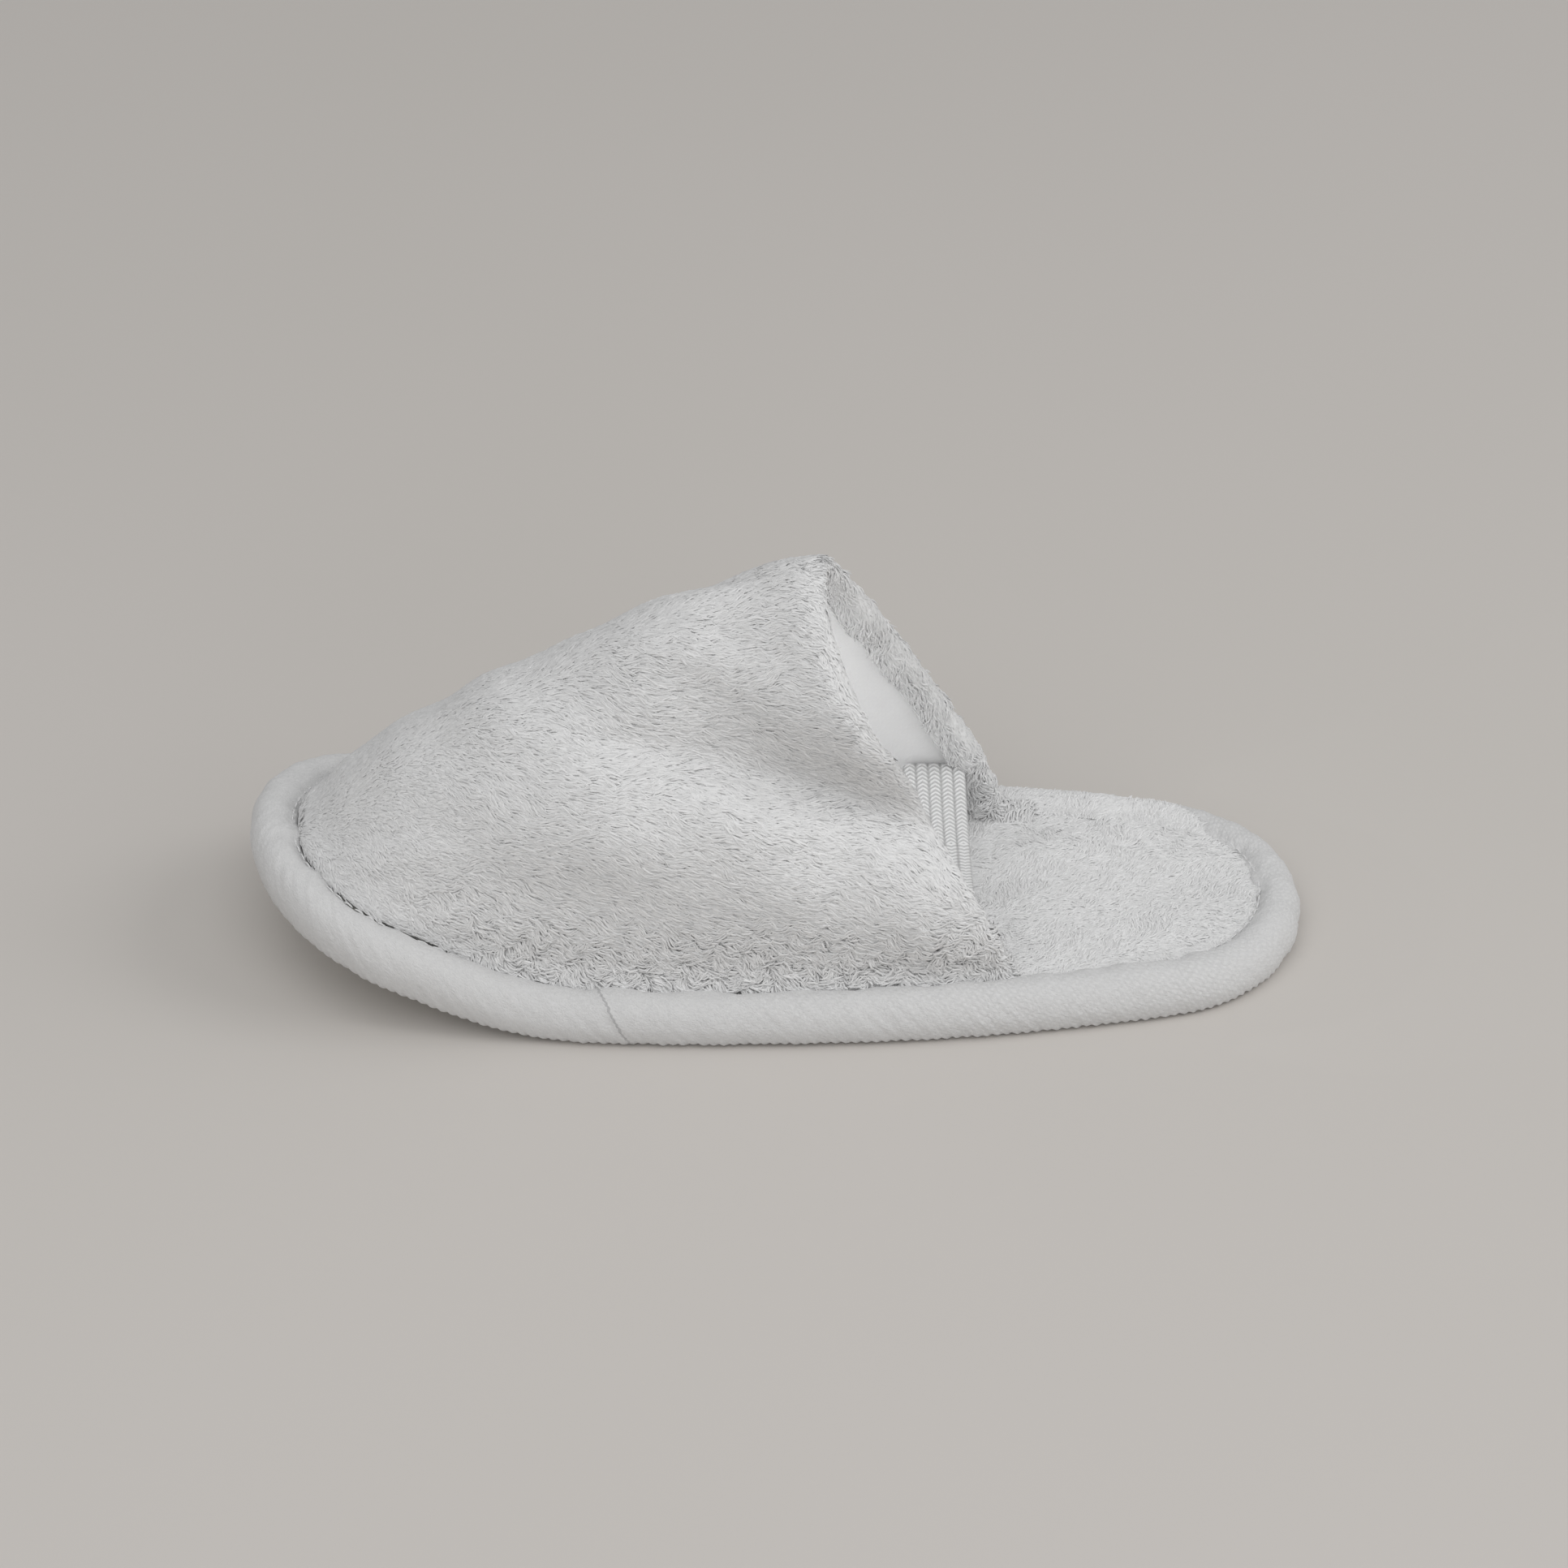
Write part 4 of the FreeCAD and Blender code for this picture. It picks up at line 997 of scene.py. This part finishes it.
# %% [markdown]
# Along the far side behind the collar the insole's pile has been pushed over the tape,
# so there a band of short pile lies on the tape's inner half and leaves only a thin line of it bare.

# %% pile over the far tape
top_inset, top_height = SECTION[1:9][::-1].T
COVER_ROWS, COVER_COLUMNS = 120, 24
COVER_FROM, COVER_TO = 41, 91
COVER_INSET = 10.6     # the band's inner edge, on the insole
x_cover = np.repeat(np.linspace(COVER_FROM, COVER_TO, COVER_ROWS)[:, None], COVER_COLUMNS, 1)
bare = np.interp(x_cover, (COVER_FROM, 64, 80, COVER_TO), (3.0, 3.0, 4.6, 10.0))
cover_inset = COVER_INSET + (bare - COVER_INSET) * np.linspace(0, 1, COVER_COLUMNS)[None, :]
cover_height = np.maximum(np.interp(cover_inset, top_inset, top_height) * 0.91 + 0.1, 8.05)
cover_grid = np.stack([x_cover, half_width(x_cover, cover_inset), level(x_cover, cover_height)], -1)
rng = np.random.default_rng(9)
roots, normals, along, across = scatter(cover_grid, int(6000 * STRAND_SHARE), rng)[:4]
normals = normals * np.sign(normals[:, 2:3])
comb = turned(unit(along * 0.5 + across * 0.9), normals,
              0.5 * drift(roots, 14, 54) + rng.normal(0, 0.4, len(roots)))
short_pile("insole_edge_pile", roots, normals, comb, 1.9, 0.12, 1.6, rng, 10)

# %% [markdown]
# Where the far end of the collar meets the insole, the insole's pile stands up against the wall.

# %% pile against the wall
rng = np.random.default_rng(12)
nook_count = int(1500 * STRAND_SHARE)
x_nook = rng.uniform(30, 52, nook_count)
nook_inset = rng.uniform(11.0, 15.5, nook_count) - 1.5 * ease(46, 50, x_nook)
roots = np.stack([x_nook, half_width(x_nook, nook_inset), level(x_nook, PAD_TOP)], -1)
upright = np.tile([0.0, 0.0, 1.0], (nook_count, 1))
comb = turned(np.tile([0.25, 0.97, 0.0], (nook_count, 1)), upright, rng.normal(0, 0.5, nook_count))
short_pile("insole_nook_pile", roots, upright, comb, 2.6, 0.55, 1.4, rng, 13)

# %% [markdown]
# ## Stitches
# A lockstitch shows as short, slack bars of thread: in the pinched groove, under the sole where the
# same seam comes out, and round the collar, where it holds the lining and is hidden by pile. Each bar
# is swept in one call, because a curve object for each of them would make hundreds of objects.

# %% stitches
THREAD_PROFILE = np.array([0.3, 0.85, 1, 1, 1, 0.85, 0.3])     # thickness along one stitch


def thread_row(name, points, radius, replaced, closed=True):
    """Short thread stitches, one between each pair of points, lying a little slack."""
    rings, sides = len(THREAD_PROFILE), 6
    start, end = (points, np.roll(points, -1, 0)) if closed else (points[:-1], points[1:])
    s = np.linspace(0.1, 0.9, rings)[None, :, None]
    spine = start[:, None] * (1 - s) + end[:, None] * s
    spine[..., 2] += 0.22 * np.sin(math.pi * (s[..., 0] - 0.1) / 0.8) - 0.12
    tangent = unit(np.gradient(spine, axis=1))
    side = unit(np.cross(tangent, np.array([0, 0, 1.0])))
    over = np.cross(side, tangent)
    turn = np.arange(sides) * 2 * math.pi / sides
    ring = side[:, :, None] * np.cos(turn)[:, None] + over[:, :, None] * np.sin(turn)[:, None]
    verts = spine[:, :, None] + ring * THREAD_PROFILE[:, None, None] * radius
    band = grid_faces(rings, sides, wrap_columns=True)
    faces = (band[None] + np.arange(len(start))[:, None, None] * rings * sides).reshape(-1, 4)
    piece = mesh_piece(name, verts.reshape(-1, 3), faces, [thread])
    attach(piece, "slipper")
    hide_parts(replaced)
    print(name, len(start), "stitches")


UNDER_INSET = 6.0      # the seam comes out under the sole here
stitch_points, stitch_inward, _, _ = outline(round(perimeter / STITCH))
seam_xy = stitch_points + stitch_inward * SEAM_INSET
seam_z = level(seam_xy[:, 0], 8.62 * (1 - 1.1 * pressed(stitch_points)))
top_line = np.column_stack([seam_xy, seam_z])
thread_row("seam_top_thread", top_line, 0.18, "binding_top_stitches")
under_xy = stitch_points + stitch_inward * UNDER_INSET
under_line = np.column_stack([under_xy, level(under_xy[:, 0], 0.33)])
thread_row("seam_under_thread", under_line, 0.24, "binding_under_stitches")

collar_line = np.array(rim_rows[-1])[6:-6:5] - edge_out[6:-6:5] * 0.15
thread_row("collar_thread", collar_line, 0.22, "collar_stitches", closed=False)

# %% [markdown]
# ## Elastic strap
# Flat woven elastic crosses the opening. Five ribs run along it and in each the weft makes a
# herringbone. Each half is one piece that starts on the wall, where it is sewn, and ends at the middle.
# First comes the line that it follows, seen from the heel.

# %% path of the strap
STRAP_X, STRAP_Z = 32.0, 19.0
STRAP_PATH = np.array([(29.2, 8.1), (27.8, 8.8), (26.9, 11.0), (26.5, 14.5), (26.2, 18.0),
                       (25.5, 20.9), (23.6, 21.9), (20.0, 21.4), (13.0, 20.3), (6.0, 19.5), (0.0, 19.3)])


def strap_line(count):
    """Points along the strap, the way its upper face looks at each, and the run left to the middle."""
    walk = np.linspace(0, len(STRAP_PATH) - 1.0001, 900)
    first, share = walk.astype(int), (walk % 1)[:, None]
    near_four = [STRAP_PATH[np.clip(first + j, 0, len(STRAP_PATH) - 1)] for j in (-1, 0, 1, 2)]
    curve = curve_between(*near_four, share)
    run = np.concatenate([[0], np.cumsum(np.linalg.norm(np.diff(curve, axis=0), axis=1))])
    want = np.linspace(0, run[-1], count)
    line = np.stack([np.interp(want, run, curve[:, j]) for j in range(2)], 1)
    tangent = unit(np.gradient(line, axis=0))
    normal = np.stack([tangent[:, 1], -tangent[:, 0]], 1)
    normal *= np.sign(normal[-1, 1])
    return line, normal, run[-1] - want


print("strap", round(2 * float(strap_line(2)[2][0])), "mm long with its sewn ends")

# %% [markdown]
# The ribs and the weft are real relief on two faces about a millimetre apart.

# %% strap
def strap_half(name, sign, replaced):
    """One half of the strap, from its sewn foot up the wall and across to the middle."""
    across_count, along_count = 110, 420
    line, normal, distance = strap_line(along_count)
    v = np.linspace(-1, 1, across_count)
    lane = v * STRAP_WIDTH / 2
    in_rib = ((lane + STRAP_WIDTH / 2) % RIB_PITCH) / RIB_PITCH
    rib = np.maximum(1 - (2 * in_rib - 1) ** 2, 0) ** 0.6
    slant = np.abs(2 * in_rib - 1) * SLANT
    chevron = (distance[:, None] / COURSE + slant[None, :]) % 1
    weave = 0.30 * np.sin(math.pi * chevron)
    rounded = np.sqrt(np.maximum(1 - np.abs(v) ** 12, 0))
    relief = (0.12 + 0.26 * rib[None, :] + weave * (0.2 + 0.8 * rib[None, :])) * rounded[None, :]
    x = STRAP_X + np.repeat(lane[None, :], along_count, 0)
    sheets = []
    for face in (1, -1):
        y = line[:, None, 0] + normal[:, None, 0] * relief * face
        z = line[:, None, 1] + normal[:, None, 1] * relief * face
        sheets.append(np.stack([x, sign * y, z], -1))
    ring_grid = np.concatenate([sheets[0], sheets[1][:, ::-1]], 1)
    faces = grid_faces(along_count, 2 * across_count, wrap_columns=True)
    if sign < 0:
        faces = faces[:, ::-1]
    uv_across = np.repeat(np.concatenate([lane, lane[::-1]])[None], along_count, 0)
    uv_along = np.repeat(distance[:, None], 2 * across_count, 1)
    uv = np.stack([uv_across, uv_along], -1)
    piece = mesh_piece(name, ring_grid.reshape(-1, 3), faces, [elastic], uv.reshape(-1, 2))
    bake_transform(piece)
    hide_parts(*replaced)
    print(name, len(piece.data.vertices), "points")


strap_half("strap_near_half", -1, ("heel_strap", "strap_end_near"))
strap_half("strap_far_half", 1, ("heel_strap", "strap_end_far"))

# %% [markdown]
# ## Sole from below
# The moulded outsole and the foam pad keep their CAD shapes and get their own finishes.

# %% CAD nodes that stay
for node, material in (("outsole_sheet", eva_skin), ("sole_cushion", soft_foam)):
    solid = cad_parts[node]
    solid.data.materials.clear()
    solid.data.materials.append(material)
    print(node, "wears", material.name)

# %% [markdown]
# ## Floor and light
# The floor is a plain warm-grey painted board.

# %% floor
board, shader = new_material("painted_board", Roughness=0.85)
place = add(board, "TexCoord")
grain = add(board, "TexNoise", Vector=place.outputs["Object"], Scale=700.0, Detail=3.0)
cloud = add(board, "TexNoise", Vector=place.outputs["Object"], Scale=3.0, Detail=2.0)
two_tone(board, shader, cloud.outputs[0], "CECAC4", "D4CFCB")
raised(board, shader, grain.outputs[0], 0.15, 0.05)
floor_mesh = bpy.data.meshes.new("floor")
floor_mesh.from_pydata([(-4, -3, 0), (4, -3, 0), (4, 6, 0), (-4, 6, 0)], [], [(0, 1, 2, 3)])
floor_mesh.materials.append(board)
floor = bpy.data.objects.new("floor", floor_mesh)
bpy.context.scene.collection.objects.link(floor)
print("floor", tuple(round(v) for v in floor.dimensions[:2]), "m")

# %% [markdown]
# Three large soft lights, as in a product studio: a window at the heel end, a low fill from the front
# and a box overhead. Daylight also comes through the thin upper. Cloth that lets light through would
# need many more samples, so a tiny lamp inside stands for it. The room is an even, pale surround.

# %% lights
def soft_light(name, where, size_m, watts, target=(0, 0, 0.03)):
    """A square area light of a size in metres that looks at the target."""
    data = bpy.data.lights.new(name, "AREA")
    data.shape = "SQUARE"
    data.size = size_m
    data.energy = watts
    light = bpy.data.objects.new(name, data)
    light.location = where
    light.rotation_euler = (Vector(target) - Vector(where)).to_track_quat("-Z", "Y").to_euler()
    bpy.context.scene.collection.objects.link(light)


soft_light("window", (1.5, -0.15, 1.15), 1.2, 8.6)
soft_light("low_front_fill", (0.9, -1.6, 0.45), 1.2, 3.7)
soft_light("overhead_box", (-0.2, -0.6, 1.2), 1.3, 6.8)
through_cloth = bpy.data.lights.new("light_through_the_cloth", "POINT")
through_cloth.energy = 0.0125
through_cloth.shadow_soft_size = 0.0
inner_lamp = bpy.data.objects.new("light_through_the_cloth", through_cloth)
inner_lamp.location = (-0.010, -0.010, 0.042)
bpy.context.scene.collection.objects.link(inner_lamp)
world = bpy.data.worlds.new("pale_room")
world.use_nodes = True
world.node_tree.nodes["Background"].inputs[0].default_value = linear("FFFFFF")
world.node_tree.nodes["Background"].inputs[1].default_value = 0.36
bpy.context.scene.world = world
bpy.context.scene.view_settings.view_transform = "Standard"
print("lights:", sorted(light.name for light in bpy.data.lights))
